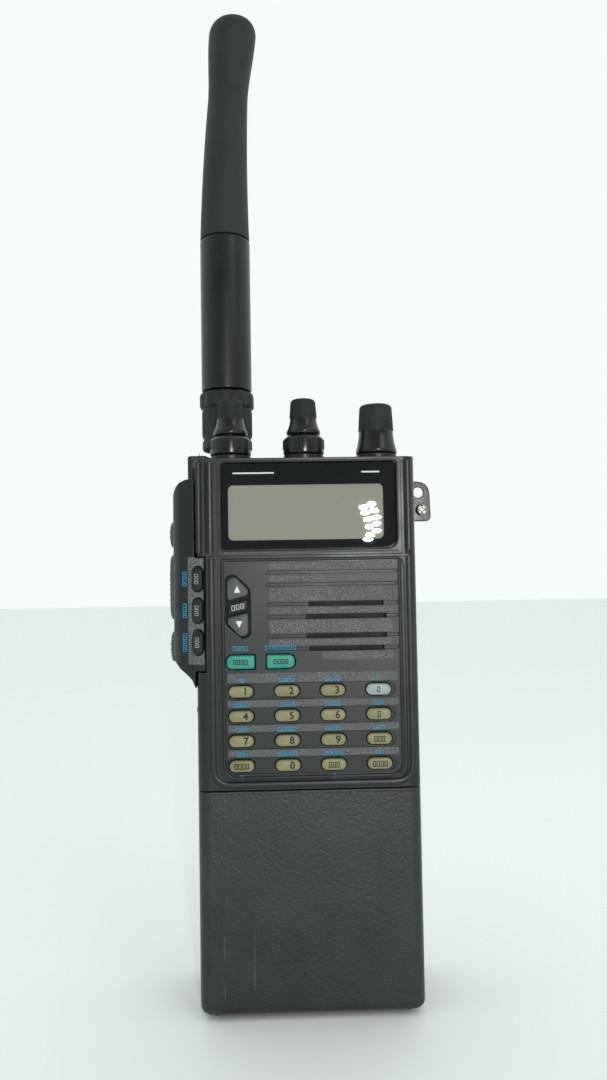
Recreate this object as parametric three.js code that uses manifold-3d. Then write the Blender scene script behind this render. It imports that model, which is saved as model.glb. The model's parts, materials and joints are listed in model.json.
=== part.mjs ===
// Dual band handheld two way radio with a clip-on battery pack.
// Millimetres, +Z up along the antenna, +X to the right and the front face towards -Y.
// The origin is the centre of the battery pack's flat underside.
import * as THREE from "three";
import * as BufferGeometryUtils from "three/addons/utils/BufferGeometryUtils.js";
import Module from "manifold-3d";

const wasm = await Module();
wasm.setup();

// ---------------------------------------------------------------- driving dimensions
const fitGap = 0.3;             // gap between pieces that touch or run in each other
const bodyWidth = 58;
const bodyDepth = 29;
const bodyHeight = 86;          // radio without its battery pack
const batteryHeight = 56.8;
const cornerRadius = 3;         // vertical edges of the radio and the pack
const frontWall = 2;
const sideWall = 1.8;
const packWall = 1.6;
const footRadius = 0.6;
const footHeight = 1.1;
const footInset = 4.1;

const keyPitchX = 11.9;         // number pad
const keyPitchZ = 6.35;
const keyWidth = 6.4;
const keyHeight = 2.9;
const keyProud = 0.5;           // how far a key stands out of the front
const keyTravel = 0.6;
const keypadLowRow = 6.15;      // above the radio's lower edge
const keypadLeft = 17.5;        // from the centre plane
const scanKeyWidth = 7.3;
const scanKeyHeight = 3.5;
const scanKeyRise = 7.65;       // above the top row of the pad
const scanKeyPitch = 10.45;

const windowWidth = 45.6;
const windowHeight = 22.3;
const windowThickness = 1.2;
const windowOffset = 0.9;       // to the right of the centre plane
const windowDrop = 1.4;         // below the radio's upper edge
const displayWidth = 40.8;
const displayHeight = 14.6;
const displayRise = 2;          // above the window's lower edge
const displayShift = 0.8;       // to the left of the window's middle
const displayThickness = 1;
const displaySectionHeight = 25.6;

const speakerRadius = 14;
const speakerDepth = 4.2;
const speakerX = 10.2;
const speakerDrop = 43.8;       // below the radio's upper edge
const grilleLeft = 10.6;
const grilleRight = 23.7;
const grilleGrooveHeight = 0.8;
const grilleSlotHeight = 1.2;
const microphoneRadius = 2.3;

const housingProud = 6.3;       // side housing, out of the radio's left side
const housingHeight = 55;
const housingDrop = 5;          // below the radio's upper edge
const housingDepth = 20.6;
const housingWall = 1.7;
const bevelSlope = 21 * Math.PI / 180;
const bevelKeyWidth = 2.8;
const bevelKeyHeight = 6.3;
const bevelKeyPitch = 8.25;
const bevelKeyTravel = 0.5;
const sideButtonProud = 1.8;
const sideButtonTravel = 0.8;

const knobPitch = 19.8;
const knobY = -6.9;
const knobRise = 1.6;             // above the radio's upper edge
const ringRadius = 5.6;
const ringHeight = 5.2;
const smallKnobHeight = 9.7;
const smallKnobTop = 3.35;
const smallKnobSkirt = 4.6;
const bigKnobHeight = 13.4;
const bigKnobTop = 4.35;
const bigKnobSkirt = 5.55;
const outerShaft = 3;
const innerShaft = 1.5;
const controlSize = 9.4;
const controlHeight = 7;

const antennaInset = 7.5;       // from the radio's left side
const antennaY = 6.5;
const jackBarrel = 4.6;
const jackBore = 3.4;
const jackHeight = 14;
const jackNutRadius = 5.4;
const jackNutHeight = 2.2;
const jackDepth = 6;            // below the top panel
const jackPin = 0.7;
const nutRadius = 7.45;
const nutHeight = 12;
const collarRadius = 7.85;
const collarHeight = 4.6;
const sleeveRadius = 7.25;
const sleeveHeight = 44;
const whipHeight = 65.8;
const whipBase = 7.1;
const whipWaist = 5.75;
const whipCap = 6.85;
const whipBend = 3.4;           // sideways set of the tip
const whipTaper = 0.64;         // share of the whip's height at its waist

const lugWidth = 8.2;
const lugHeight = 11.6;
const lugThickness = 1.6;
const lugHole = 1.55;
const lugScrew = 1.75;
const lugScrewOut = 5.4;        // from the radio's right side
const lugScrewRise = 3.3;       // above the lug's lower edge
const lugHoleRise = 5.1;        // above the screw

const railReach = 1.6;          // battery rails, sideways overlap with the radio's lips
const railThickness = 1.2;
const latchTravel = 1.2;
const cellRadius = 6.5;
const boardThickness = 1.2;
const canDepth = 6.2;           // shielding cans on the main board
const chassisWall = 1.2;

const seamWidth = 0.8;
const seamDepth = 0.6;
const lowerPanelLeft = 5.8;     // from the radio's left side
const lowerPanelRight = 3.4;    // from its right side

const fineTurn = 22;            // sides of a turned piece, by its size
const plainTurn = 18;
const smallTurn = 12;

// ---------------------------------------------------------------- places worked out from them
const halfWidth = bodyWidth / 2;
const front = -bodyDepth / 2;
const back = bodyDepth / 2;
const innerX = halfWidth - sideWall;
const antennaX = antennaInset - halfWidth;
const innerFront = front + frontWall;
const innerBack = back - frontWall;
const bodyBottom = batteryHeight + fitGap;
const bodyTop = bodyBottom + bodyHeight;
const panelTop = bodyTop - 0.2;
const panelThickness = 2.2;
const displayBottom = bodyTop - displaySectionHeight;
const speakerZ = bodyTop - speakerDrop;
const padTopRow = bodyBottom + keypadLowRow + 3 * keyPitchZ;
const scanKeyZ = padTopRow + scanKeyRise;
const keyFlange = 0.7;
const keyBackY = innerFront + fitGap + keyFlange;
const matFront = keyBackY + keyTravel + fitGap;
const matThickness = 1;
const boardFront = matFront + matThickness + fitGap;
const chassisFront = boardFront + boardThickness + 2.2;

// ---------------------------------------------------------------- helpers
function solid(geometry) {
  const plain = geometry.clone();
  plain.deleteAttribute("normal");
  plain.deleteAttribute("uv");
  const merged = BufferGeometryUtils.mergeVertices(plain, 1e-4);
  return new wasm.Manifold(new wasm.Mesh({
    numProp: 3,
    vertProperties: new Float32Array(merged.attributes.position.array),
    triVerts: new Uint32Array(merged.index.array),
  }));
}

function geometryOf(body) {
  const mesh = body.getMesh();
  const geometry = new THREE.BufferGeometry();
  geometry.setAttribute("position", new THREE.BufferAttribute(mesh.vertProperties, 3));
  geometry.setIndex(new THREE.BufferAttribute(mesh.triVerts, 1));
  geometry.computeVertexNormals();
  return geometry;
}

function block(x0, x1, y0, y1, z0, z1) {
  const geometry = new THREE.BoxGeometry(x1 - x0, y1 - y0, z1 - z0);
  geometry.translate((x0 + x1) / 2, (y0 + y1) / 2, (z0 + z1) / 2);
  return solid(geometry);
}

// A closed outline through the corners, each rounded by its own radius or by what its edges allow.
function roundedOutline(corners) {
  const shape = new THREE.Shape();
  const count = corners.length;
  corners.forEach(([x, y, radius], index) => {
    const corner = new THREE.Vector2(x, y);
    const before = new THREE.Vector2(...corners[(index + count - 1) % count].slice(0, 2));
    const after = new THREE.Vector2(...corners[(index + 1) % count].slice(0, 2));
    const reach = Math.min(radius, corner.distanceTo(before) / 2, corner.distanceTo(after) / 2);
    const enter = corner.clone().add(before.sub(corner).setLength(reach));
    const leave = corner.clone().add(after.sub(corner).setLength(reach));
    if (index === 0) shape.moveTo(enter.x, enter.y);
    else shape.lineTo(enter.x, enter.y);
    if (radius > 0) shape.quadraticCurveTo(corner.x, corner.y, leave.x, leave.y);
  });
  shape.closePath();
  return shape;
}

function roundedRectangle(x0, x1, y0, y1, radius) {
  return roundedOutline([[x0, y0, radius], [x1, y0, radius], [x1, y1, radius], [x0, y1, radius]]);
}

// A pill: straight sides with a half circle at each end of its longer side.
function pill(width, height) {
  const shape = new THREE.Shape();
  const radius = Math.min(width, height) / 2;
  const x = width / 2 - radius;
  const y = height / 2 - radius;
  if (width >= height) {
    shape.absarc(x, 0, radius, -Math.PI / 2, Math.PI / 2);
    shape.absarc(-x, 0, radius, Math.PI / 2, Math.PI * 1.5);
  } else {
    shape.absarc(0, y, radius, 0, Math.PI);
    shape.absarc(0, -y, radius, Math.PI, Math.PI * 2);
  }
  shape.closePath();
  return shape;
}

// The outline's points with any that coincide left out.
function plainOutline(shape, segments) {
  const points = shape.getPoints(segments);
  return new THREE.Shape(points.filter((point, index) =>
    point.distanceTo(points[(index + 1) % points.length]) > 1e-3));
}

function extruded(shape, depth, segments, bevel) {
  const bevelSteps = bevel > 0.5 ? 2 : 1;
  const options = { depth, curveSegments: segments, bevelEnabled: bevel > 0 };
  if (bevel > 0) {
    options.depth = depth - 2 * bevel;
    options.bevelThickness = bevel;
    options.bevelSize = bevel;
    options.bevelOffset = -bevel;
    options.bevelSegments = bevelSteps;
  }
  const geometry = new THREE.ExtrudeGeometry(plainOutline(shape, segments), options);
  if (bevel > 0) geometry.translate(0, 0, bevel);
  return geometry;
}

// An outline drawn in X and Y, raised from z0 to z1.
function alongZ(shape, z0, z1, segments = 4, bevel = 0) {
  const geometry = extruded(shape, z1 - z0, segments, bevel);
  geometry.translate(0, 0, z0);
  return solid(geometry);
}

// An outline drawn in X and Z, reaching from y0 back to y1.
function alongY(shape, y0, y1, segments = 4, bevel = 0) {
  const geometry = extruded(shape, y1 - y0, segments, bevel);
  geometry.rotateX(Math.PI / 2);
  geometry.translate(0, y1, 0);
  return solid(geometry);
}

// An outline drawn in Y and Z, reaching from x0 to x1.
function alongX(shape, x0, x1, segments = 4, bevel = 0) {
  const geometry = extruded(shape, x1 - x0, segments, bevel);
  geometry.applyMatrix4(new THREE.Matrix4().set(0, 0, 1, 0, 1, 0, 0, 0, 0, 1, 0, 0, 0, 0, 0, 1));
  geometry.translate(x0, 0, 0);
  return solid(geometry);
}

// A profile of [radius, z] points turned about the Z axis.
function turned(profile, segments = fineTurn) {
  const points = profile.map(([radius, z]) => new THREE.Vector2(radius, z));
  const geometry = new THREE.LatheGeometry(points, segments);
  geometry.rotateX(Math.PI / 2);
  return solid(geometry);
}

function joined(bodies) {
  return bodies.reduce((sum, body) => sum.add(body));
}

function cutBy(body, tools) {
  return tools.reduce((rest, tool) => rest.subtract(tool), body);
}

const radioPart = new THREE.Group();

function addPiece(name, body, finish, parent = radioPart) {
  const material = new THREE.MeshStandardMaterial(finish);
  const mesh = new THREE.Mesh(geometryOf(body), material);
  mesh.name = name;
  parent.add(mesh);
  return mesh;
}

const blackPlastic = { color: 0x23282a, roughness: 0.5, metalness: 0 };
const grainedPlastic = { color: 0x2b3032, roughness: 0.62, metalness: 0 };
const glossBlack = { color: 0x0b0e10, roughness: 0.12, metalness: 0 };
const displayGrey = { color: 0x949b8c, roughness: 0.35, metalness: 0 };
const keyCream = { color: 0x9c9a78, roughness: 0.55, metalness: 0 };
const keyPale = { color: 0x90a09c, roughness: 0.55, metalness: 0 };
const keyGreen = { color: 0x2d9682, roughness: 0.45, metalness: 0 };
const keyGrey = { color: 0x5a6460, roughness: 0.55, metalness: 0 };
const rubberBlack = { color: 0x1e2324, roughness: 0.75, metalness: 0 };
const boardGreen = { color: 0x1f5a3c, roughness: 0.5, metalness: 0 };
const castMetal = { color: 0x9a9c9e, roughness: 0.45, metalness: 1 };
const blackMetal = { color: 0x202426, roughness: 0.4, metalness: 0.8 };
const platedMetal = { color: 0xb0aaa0, roughness: 0.3, metalness: 1 };
const cellBlue = { color: 0x2f4f86, roughness: 0.5, metalness: 0 };

// ---------------------------------------------------------------- battery pack
function makeBatteryCase() {
  const plan = roundedRectangle(-halfWidth, halfWidth, front, back, cornerRadius);
  const edgeRound = 1.6;
  const shell = alongZ(plan, 0, batteryHeight + edgeRound * 2, 4, edgeRound);
  const above = block(-halfWidth - 1, halfWidth + 1, front - 1, back + 1,
    batteryHeight, batteryHeight + edgeRound * 3);
  const hollow = block(packWall - halfWidth, halfWidth - packWall,
    front + packWall, back - packWall, packWall, batteryHeight + 1);
  const feet = [-1, 1].flatMap((sideX) => [-1, 1].map((sideY) => {
    const foot = turned([[0, -footHeight], [footRadius, -footHeight], [footRadius, 1], [0, 1]], smallTurn);
    return foot.translate([sideX * (halfWidth - footInset), sideY * (back - footInset), 0]);
  }));
  return joined([cutBy(shell, [above, hollow]), ...feet]);
}

const lidTop = batteryHeight - 0.2;
const lidBottom = lidTop - 2;
const railInner = 7.6;
const railWeb = 1.4;
const railTop = bodyBottom + 2.5;
const railStart = halfWidth - 4.5;

function makeBatteryLid() {
  const lidX = halfWidth - packWall - fitGap;
  const lidY = back - packWall - fitGap;
  const pieces = [block(-lidX, lidX, -lidY, lidY, lidBottom, lidTop)];
  for (const side of [-1, 1]) {
    const web = [side * railInner, side * (railInner + railWeb)].sort((a, b) => a - b);
    const flange = [side * railInner, side * (railInner + railWeb + railReach)].sort((a, b) => a - b);
    pieces.push(block(-railStart, railStart, ...web, lidTop - 0.5, railTop));
    pieces.push(block(-railStart, railStart, ...flange, railTop - railThickness, railTop));
  }
  return joined(pieces);
}

function makeCellPack() {
  const cellBottom = packWall + 0.5;
  const cellTop = lidBottom - 1;
  const rowY = back - packWall - fitGap - cellRadius;
  const pitch = cellRadius * 2 + fitGap;
  const pieces = [];
  for (const row of [-1, 1]) {
    for (const column of [-1, 0, 1]) {
      const x = column * pitch + row * pitch / 4;
      const can = [[0, cellBottom], [cellRadius, cellBottom], [cellRadius, cellTop], [0, cellTop]];
      pieces.push(turned(can, smallTurn).translate([x, row * rowY, 0]));
    }
  }
  const tab = pitch * 1.6;
  pieces.push(block(-tab, tab, -rowY - 2, rowY + 2, cellTop - 0.1, cellTop + 0.5));
  pieces.push(block(-tab, tab, -rowY - 2, rowY + 2, cellBottom - 0.2, cellBottom + 0.2));
  return joined(pieces);
}

const plateTop = bodyBottom + 3.5;
const plateBottom = bodyBottom + 0.2;
const plateY = innerBack - 0.6;
const latchHalf = 4.9;
const latchInner = halfWidth - 7.5;

function makeBasePlate() {
  const body = block(-innerX + fitGap, halfWidth - 0.1, -plateY, plateY, plateBottom, plateTop);
  const tools = [block(latchInner - latchTravel - fitGap, halfWidth + 1, -latchHalf - fitGap,
    latchHalf + fitGap, plateBottom + 0.6, plateTop + 1)];
  for (const side of [-1, 1]) {
    const web = [side * (railInner - fitGap), side * (railInner + railWeb + fitGap)];
    const flange = [side * (railInner - fitGap), side * (railInner + railWeb + railReach + fitGap)];
    web.sort((a, b) => a - b);
    flange.sort((a, b) => a - b);
    const slotStart = -railStart - fitGap;
    tools.push(block(slotStart, halfWidth + 1, ...web, plateBottom - 1, railTop));
    tools.push(block(slotStart, halfWidth + 1, ...flange,
      railTop - railThickness - fitGap, railTop + fitGap));
  }
  return cutBy(body, tools);
}

function makeBatteryLatch() {
  const latchBottom = plateBottom + 0.6 + fitGap;
  const outline = roundedRectangle(-latchHalf, latchHalf, latchBottom, plateTop - fitGap, 0.6);
  return alongX(outline, latchInner, halfWidth + 0.4, 2);
}

// ---------------------------------------------------------------- number pad layout
const padNames = [
  ["key_1", "key_2", "key_3", "key_function"],
  ["key_4", "key_5", "key_6", "key_memory"],
  ["key_7", "key_8", "key_9", "key_enter"],
  ["key_dual", "key_0", "key_reverse", "key_tone"],
];

const padKeys = padNames.flatMap((row, rowIndex) => row.map((name, column) => ({
  name,
  x: -keypadLeft + column * keyPitchX,
  z: padTopRow - rowIndex * keyPitchZ,
})));

const scanKeys = [
  { name: "key_mhz", x: -keypadLeft, roundEnd: -1 },
  { name: "key_scan", x: -keypadLeft + scanKeyPitch, roundEnd: 1 },
];

// One end of a scan key is round and the other nearly square.
function scanKeyOutline(width, height, roundEnd) {
  const round = height / 2;
  const square = 0.5;
  const left = roundEnd < 0 ? round : square;
  const right = roundEnd > 0 ? round : square;
  const x = width / 2;
  const z = height / 2;
  return roundedOutline([[-x, -z, left], [x, -z, right], [x, z, right], [-x, z, left]]);
}

// The tuning step keys fill a slanted well: up, sub band and down.
const stepX = -18;
const stepZ = bodyTop - 38.9;
const stepKeys = [
  { name: "key_up", corners: [[-2.7, 7.3], [-0.6, 8], [2.8, 4.3], [2.6, 3], [-2.7, 1.6]] },
  { name: "key_sub", corners: [[-2.6, 0.9], [2.6, 2], [2.6, -0.9], [-2.6, -2]] },
  { name: "key_down", corners: [[2.7, -7.1], [0.6, -7.8], [-2.8, -4.1], [-2.6, -2.8], [2.7, -1.4]] },
];
const stepWell = [[-3.2, 8], [-1, 8.6], [3.3, 4.6], [3.3, -7.6], [1, -8.4], [-3.3, -4.4]];

function stepOutline(corners, radius) {
  return roundedOutline(corners.map(([x, z]) => [x + stepX, z + stepZ, radius]));
}

// ---------------------------------------------------------------- front case
const groovePairs = [[13.7, 10.5], [5.4, 2.1], [-2.9, -6.2]];

function grilleCuts() {
  const tools = [];
  groovePairs.flat().forEach((rise, index) => {
    const z = speakerZ + rise;
    const half = grilleGrooveHeight / 2;
    tools.push(block(-grilleLeft, grilleRight, front - 1, front + 0.6, z - half, z + half));
    if (index >= 2) {
      const reach = index % 3 === 2 ? 9.8 : 10.5;
      const slot = grilleSlotHeight / 2;
      tools.push(block(speakerX - reach, speakerX + reach, front - 1, innerFront + 1,
        z - slot, z + slot));
    }
  });
  return tools;
}

function keyCuts() {
  const tools = [];
  const hole = pill(keyWidth + 2 * fitGap, keyHeight + 2 * fitGap);
  const gutter = pill(3 * keyPitchX + keyWidth + 2.2, keyHeight + 1.2);
  for (let row = 0; row < 4; row += 1) {
    const middle = -keypadLeft + 1.5 * keyPitchX;
    const z = padTopRow - row * keyPitchZ;
    tools.push(alongY(gutter, front - 1, front + 0.4, 3).translate([middle, 0, z]));
  }
  for (const { x, z } of padKeys) {
    tools.push(alongY(hole, front - 1, innerFront + 1, 3).translate([x, 0, z]));
  }
  for (const { x, roundEnd } of scanKeys) {
    const outline = scanKeyOutline(scanKeyWidth + 2 * fitGap, scanKeyHeight + 2 * fitGap, roundEnd);
    tools.push(alongY(outline, front - 1, innerFront + 1, 3).translate([x, 0, scanKeyZ]));
  }
  tools.push(alongY(stepOutline(stepWell, 1), front - 1, innerFront + 1, 3));
  return tools;
}

const windowX0 = windowOffset - windowWidth / 2;
const windowX1 = windowOffset + windowWidth / 2;
const windowZ1 = bodyTop - windowDrop;
const windowZ0 = windowZ1 - windowHeight;
const displayX0 = windowOffset - displayShift - displayWidth / 2;
const displayX1 = displayX0 + displayWidth;
const displayZ0 = windowZ0 + displayRise;
const displayZ1 = displayZ0 + displayHeight;
const windowSeat = front + windowThickness + fitGap;

function displayCuts() {
  const seat = roundedRectangle(windowX0 - fitGap, windowX1 + fitGap,
    windowZ0 - fitGap, windowZ1 + fitGap, 1.6);
  return [
    alongY(seat, front - 1, windowSeat, 3),
    block(displayX0 - fitGap, displayX1 + fitGap, front, innerFront + 1,
      displayZ0 - fitGap, displayZ1 + fitGap),
  ];
}

// Seams round the key panel and beside the display section.
function seamCuts() {
  const left = lowerPanelLeft - halfWidth;
  const right = halfWidth - lowerPanelRight;
  const low = bodyBottom + 1.8;
  const panel = roundedRectangle(left, right, low, displayBottom, 4);
  const inner = roundedRectangle(left + seamWidth, right - seamWidth,
    low + seamWidth, displayBottom + 4, 3.4);
  const ring = alongY(panel, front - 1, front + seamDepth, 4)
    .subtract(alongY(inner, front - 2, front + seamDepth + 1, 4));
  const seam = (x, top) => block(x, x + seamWidth, front - 1, front + seamDepth, displayBottom, top);
  return [
    ring,
    block(3.5 - halfWidth, halfWidth - 2, front - 1, front + seamDepth,
      displayBottom - seamWidth, displayBottom),
    seam(1.9 - halfWidth, bodyTop + 1),
    seam(5.1 - halfWidth, bodyTop - 1.2),
    seam(halfWidth - 3.8, bodyTop - 1.2),
  ];
}

const housingTop = bodyTop - housingDrop;
const housingBottom = housingTop - housingHeight;
const wingRight = -halfWidth + 2.4;
const wingBack = front + 4.7;
const wingTop = displayBottom - fitGap;
const wingBottom = housingBottom + 4.5;
const lugZ = bodyTop - 4.2 - lugHeight;

function caseHalf(y0, y1, z1) {
  const plan = roundedRectangle(-halfWidth, halfWidth, front, back, cornerRadius);
  const whole = alongZ(plan, bodyBottom, z1, 4);
  return whole.intersect(block(-halfWidth - 1, halfWidth + 1, y0, y1, bodyBottom - 1, z1 + 1));
}

function baseWindow(y0, y1) {
  return block(innerX - 1, halfWidth + 1, y0, y1, bodyBottom - 1, plateTop + fitGap);
}

function makeFrontCase() {
  const split = -fitGap / 2;
  const shell = caseHalf(front - 1, split, bodyTop)
    .subtract(block(-innerX, innerX, innerFront, 1, bodyBottom - 1, bodyTop + 1));
  const backing = block(-innerX - 1, wingRight + 2, innerFront - 1, wingBack + 2,
    wingBottom - 2, wingTop + 2);
  const wingSeat = block(-halfWidth - 1, wingRight + fitGap, front - 1, wingBack + fitGap,
    wingBottom - fitGap, wingTop + fitGap);
  return cutBy(shell.add(backing), [
    wingSeat,
    baseWindow(-plateY - fitGap, 1),
    ...displayCuts(),
    ...seamCuts(),
    ...grilleCuts(),
    ...keyCuts(),
  ]);
}

const leftShoulder = 3;
const rightShoulder = 1.8;
const shoulderProud = 3.4;      // rail behind the side housing, out of the radio's left side
const lugFront = back - 6.5;
const lugScrewX = halfWidth + lugScrewOut;
const lugScrewZ = lugZ + lugScrewRise;
const bossX = halfWidth + lugWidth - 0.6;

function makeRearCase() {
  const split = fitGap / 2;
  const shell = caseHalf(split, back + 1, bodyTop)
    .subtract(block(-innerX, innerX, -1, innerBack, bodyBottom - 1, bodyTop + 1));
  const raised = caseHalf(split, back + 1, bodyTop + leftShoulder)
    .intersect(block(-halfWidth - 1, -innerX, split, 4.5, bodyTop - 1, bodyTop + leftShoulder));
  const raisedRight = caseHalf(split, back + 1, bodyTop + rightShoulder)
    .intersect(block(innerX, halfWidth + 1, split, innerBack, bodyTop - 1, bodyTop + rightShoulder));
  const rail = (y0, z0) => alongZ(roundedRectangle(-halfWidth - shoulderProud, 2 - halfWidth,
    y0, back - 0.6, 1.2), z0, bodyTop + leftShoulder, 3, 0.6);
  const sideRail = rail(housingBack + fitGap, housingBottom + 6);
  const topRail = rail(split, housingTop + fitGap);
  const cavity = block(-innerX, 0, split - 1, innerBack, bodyBottom, bodyTop + leftShoulder + 1);
  const bossFront = lugFront + lugThickness + fitGap;
  const boss = block(halfWidth - 1, bossX, bossFront, bossFront + 3, lugZ + 0.6, lugZ + 6.2);
  const pilot = new THREE.CylinderGeometry(1.2, 1.2, 8, 12).translate(lugScrewX, bossFront, lugScrewZ);
  return cutBy(joined([shell, raised, raisedRight, sideRail, topRail, boss]), [
    cavity,
    baseWindow(-1, plateY + fitGap),
    solid(pilot),
  ]);
}

// ---------------------------------------------------------------- display, speaker and boards
function makeWindow() {
  const outline = roundedOutline([
    [windowX0, windowZ0, 1.2], [windowX1, windowZ0, 2.8],
    [windowX1, windowZ1, 1.2], [windowX0, windowZ1, 1.2],
  ]);
  return alongY(outline, front, front + windowThickness, 4);
}

function makeDisplay() {
  const outline = roundedRectangle(displayX0, displayX1, displayZ0, displayZ1, 1.4);
  return alongY(outline, windowSeat, windowSeat + displayThickness, 3);
}

function aboutY(body, x, y, z) {
  return body.rotate([90, 0, 0]).translate([x, y, z]);
}

function makeSpeaker() {
  const rim = 1.2;
  const profile = [
    [0, 0], [speakerRadius * 0.6, 0], [speakerRadius * 0.6, speakerDepth - rim],
    [speakerRadius, speakerDepth - rim], [speakerRadius, speakerDepth],
    [speakerRadius - 1.5, speakerDepth], [speakerRadius * 0.35, speakerDepth - 0.9],
    [0, speakerDepth - 0.5],
  ];
  return aboutY(turned(profile, fineTurn), speakerX, innerFront + fitGap + speakerDepth, speakerZ);
}

const microphoneX = innerX - fitGap - microphoneRadius - 1;
const microphoneZ = speakerZ - speakerRadius + microphoneRadius;

function makeMicrophone() {
  const height = 2.4;
  const profile = [[0, 0], [microphoneRadius, 0], [microphoneRadius, height], [0, height]];
  return aboutY(turned(profile, smallTurn), microphoneX, innerFront + fitGap + height, microphoneZ);
}

function makeKeypadMat() {
  const left = -keypadLeft - keyWidth / 2 - 0.9;
  const right = -keypadLeft + 3 * keyPitchX + keyWidth / 2 + 0.9;
  const low = plateTop + fitGap;
  const padEdge = speakerZ - speakerRadius - 0.6;
  const scanRight = -keypadLeft + scanKeyPitch + scanKeyWidth / 2 + 0.6;
  const stepRight = stepX + 3.7;
  const stepTop = stepZ + 8.6;
  const outline = roundedOutline([
    [left, low, 1], [right, low, 1], [right, padEdge, 1], [scanRight, padEdge, 0.5],
    [scanRight, scanKeyZ + 2.6, 1], [stepRight, scanKeyZ + 2.6, 0.5], [stepRight, stepTop, 1],
    [left, stepTop, 1],
  ]);
  return alongY(outline, matFront, matFront + matThickness, 3);
}

function makeControlBoard() {
  const outline = roundedRectangle(-innerX + fitGap, innerX - fitGap,
    plateTop + 0.8, displayBottom - 0.4, 1);
  const board = alongY(outline, boardFront, boardFront + boardThickness, 2);
  const hole = turned([[0, -9], [speakerRadius + 0.6, -9], [speakerRadius + 0.6, 9], [0, 9]], plainTurn);
  const backing = block(-innerX - 1, wingRight + 2 + fitGap, innerFront, wingBack + 2 + fitGap,
    wingBottom - 2 - fitGap, wingTop + 2 + fitGap);
  return cutBy(board, [aboutY(hole, speakerX, boardFront, speakerZ), backing]);
}

const chassisTop = bodyTop - 16;
const chassisBottom = plateTop + fitGap;

function makeChassis() {
  const x = innerX - fitGap;
  const y = innerBack - fitGap;
  const whole = block(-x, x, chassisFront, y, chassisBottom, chassisTop);
  const tray = block(-x + chassisWall, x - chassisWall, chassisFront + chassisWall, y + 1,
    chassisBottom + chassisWall, chassisTop - chassisWall);
  return whole.subtract(tray);
}

function makeMainBoard() {
  const x = innerX - chassisWall - 2 * fitGap;
  const low = chassisBottom + chassisWall + fitGap;
  const high = chassisTop - chassisWall - fitGap;
  const boardY = chassisFront + chassisWall + canDepth + 0.4;
  const pieces = [block(-x, x, boardY, boardY + boardThickness, low, high)];
  const middle = (low + high) / 2;
  pieces.push(block(-x + 3, -1, boardY - canDepth, boardY + 0.1, middle + 1, high - 3));
  pieces.push(block(1, x - 3, boardY - canDepth, boardY + 0.1, middle + 1, high - 3));
  pieces.push(block(-x + 3, x - 3, boardY - canDepth, boardY + 0.1, low + 3, middle - 1));
  return joined(pieces);
}

// ---------------------------------------------------------------- keys
function makeKey(capOutline, flangeOutline) {
  const cap = alongY(capOutline, front - keyProud, keyBackY, 3, 0.3);
  if (!flangeOutline) return cap;
  return cap.add(alongY(flangeOutline, keyBackY - keyFlange, keyBackY, 3));
}

function addKeys() {
  const cap = pill(keyWidth, keyHeight);
  const flange = pill(keyWidth + 1.4, keyHeight + 1.4);
  const padKey = makeKey(cap, flange);
  for (const { name, x, z } of padKeys) {
    const finish = name === "key_function" ? keyPale : keyCream;
    addPiece(name, padKey.translate([x, 0, z]), finish);
  }
  for (const { name, x, roundEnd } of scanKeys) {
    const key = makeKey(scanKeyOutline(scanKeyWidth, scanKeyHeight, roundEnd),
      scanKeyOutline(scanKeyWidth + 1.2, scanKeyHeight + 1.2, roundEnd));
    addPiece(name, key.translate([x, 0, scanKeyZ]), keyGreen);
  }
  for (const { name, corners } of stepKeys) {
    const radius = name === "key_sub" ? 0.6 : 0.9;
    addPiece(name, makeKey(stepOutline(corners, radius)), name === "key_sub" ? blackPlastic : keyGrey);
  }
}

// ---------------------------------------------------------------- side housing
const housingX = -halfWidth - housingProud;
const housingInner = -halfWidth - fitGap;
const bevelX0 = wingRight;
const bevelY0 = front + 0.2;
const bevelRun = bevelX0 - housingX - 1.7;
const bevelY1 = bevelY0 + bevelRun * Math.tan(bevelSlope);
const housingBack = front + 3.4 + housingDepth;

function housingPlan() {
  return roundedOutline([
    [bevelX0, bevelY0, 0], [bevelX0 - bevelRun, bevelY1, 0.8], [housingX, bevelY1 + 2, 1],
    [housingX, housingBack - 1.5, 1], [housingX + 1.5, housingBack, 0.8],
    [housingInner, housingBack, 0], [housingInner, wingBack, 0], [bevelX0, wingBack, 0],
  ]);
}

function housingElevation() {
  const shape = new THREE.Shape();
  const topRound = 5.5;
  const taper = 9;
  shape.moveTo(wingRight + 1, housingTop);
  shape.lineTo(housingX + topRound, housingTop);
  shape.quadraticCurveTo(housingX, housingTop, housingX, housingTop - topRound);
  shape.lineTo(housingX, housingBottom + taper);
  shape.bezierCurveTo(housingX, housingBottom + taper * 0.45, housingInner - 0.8,
    housingBottom + taper * 0.5, housingInner, housingBottom);
  shape.lineTo(wingRight + 1, housingBottom);
  shape.closePath();
  return shape;
}

// The middles of the three side buttons, with the height and depth of each.
const sideButtons = [
  { name: "lamp_button", z: housingTop - 14.2, height: 7.2, depth: 6 },
  { name: "ptt_button", z: housingTop - 28.6, height: 18, depth: 8 },
  { name: "monitor_button", z: housingTop - 44.9, height: 8.4, depth: 6 },
];
const sideButtonY = -1;

const bevelKeyMiddle = housingTop - 34.7;
const bevelKeys = ["key_step", "key_call", "key_mode"].map((name, index) => ({
  name,
  z: bevelKeyMiddle + (1 - index) * bevelKeyPitch,
}));
const bevelKeyRun = 2.1;        // from the wing's edge to the keys' middle, along the slope
const bevelKeyDepth = 1.5;
const bevelPocket = bevelKeyDepth + bevelKeyTravel + fitGap;

// Puts a body drawn about the Y axis, front towards -Y, square to the sloping bevel.
function onBevel(body, z) {
  const angle = -bevelSlope;
  const turnedBody = body.rotate([0, 0, angle * 180 / Math.PI]);
  const x = bevelX0 - bevelKeyRun * Math.cos(bevelSlope);
  const y = bevelY0 + bevelKeyRun * Math.sin(bevelSlope);
  return turnedBody.translate([x, y, z]);
}

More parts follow.
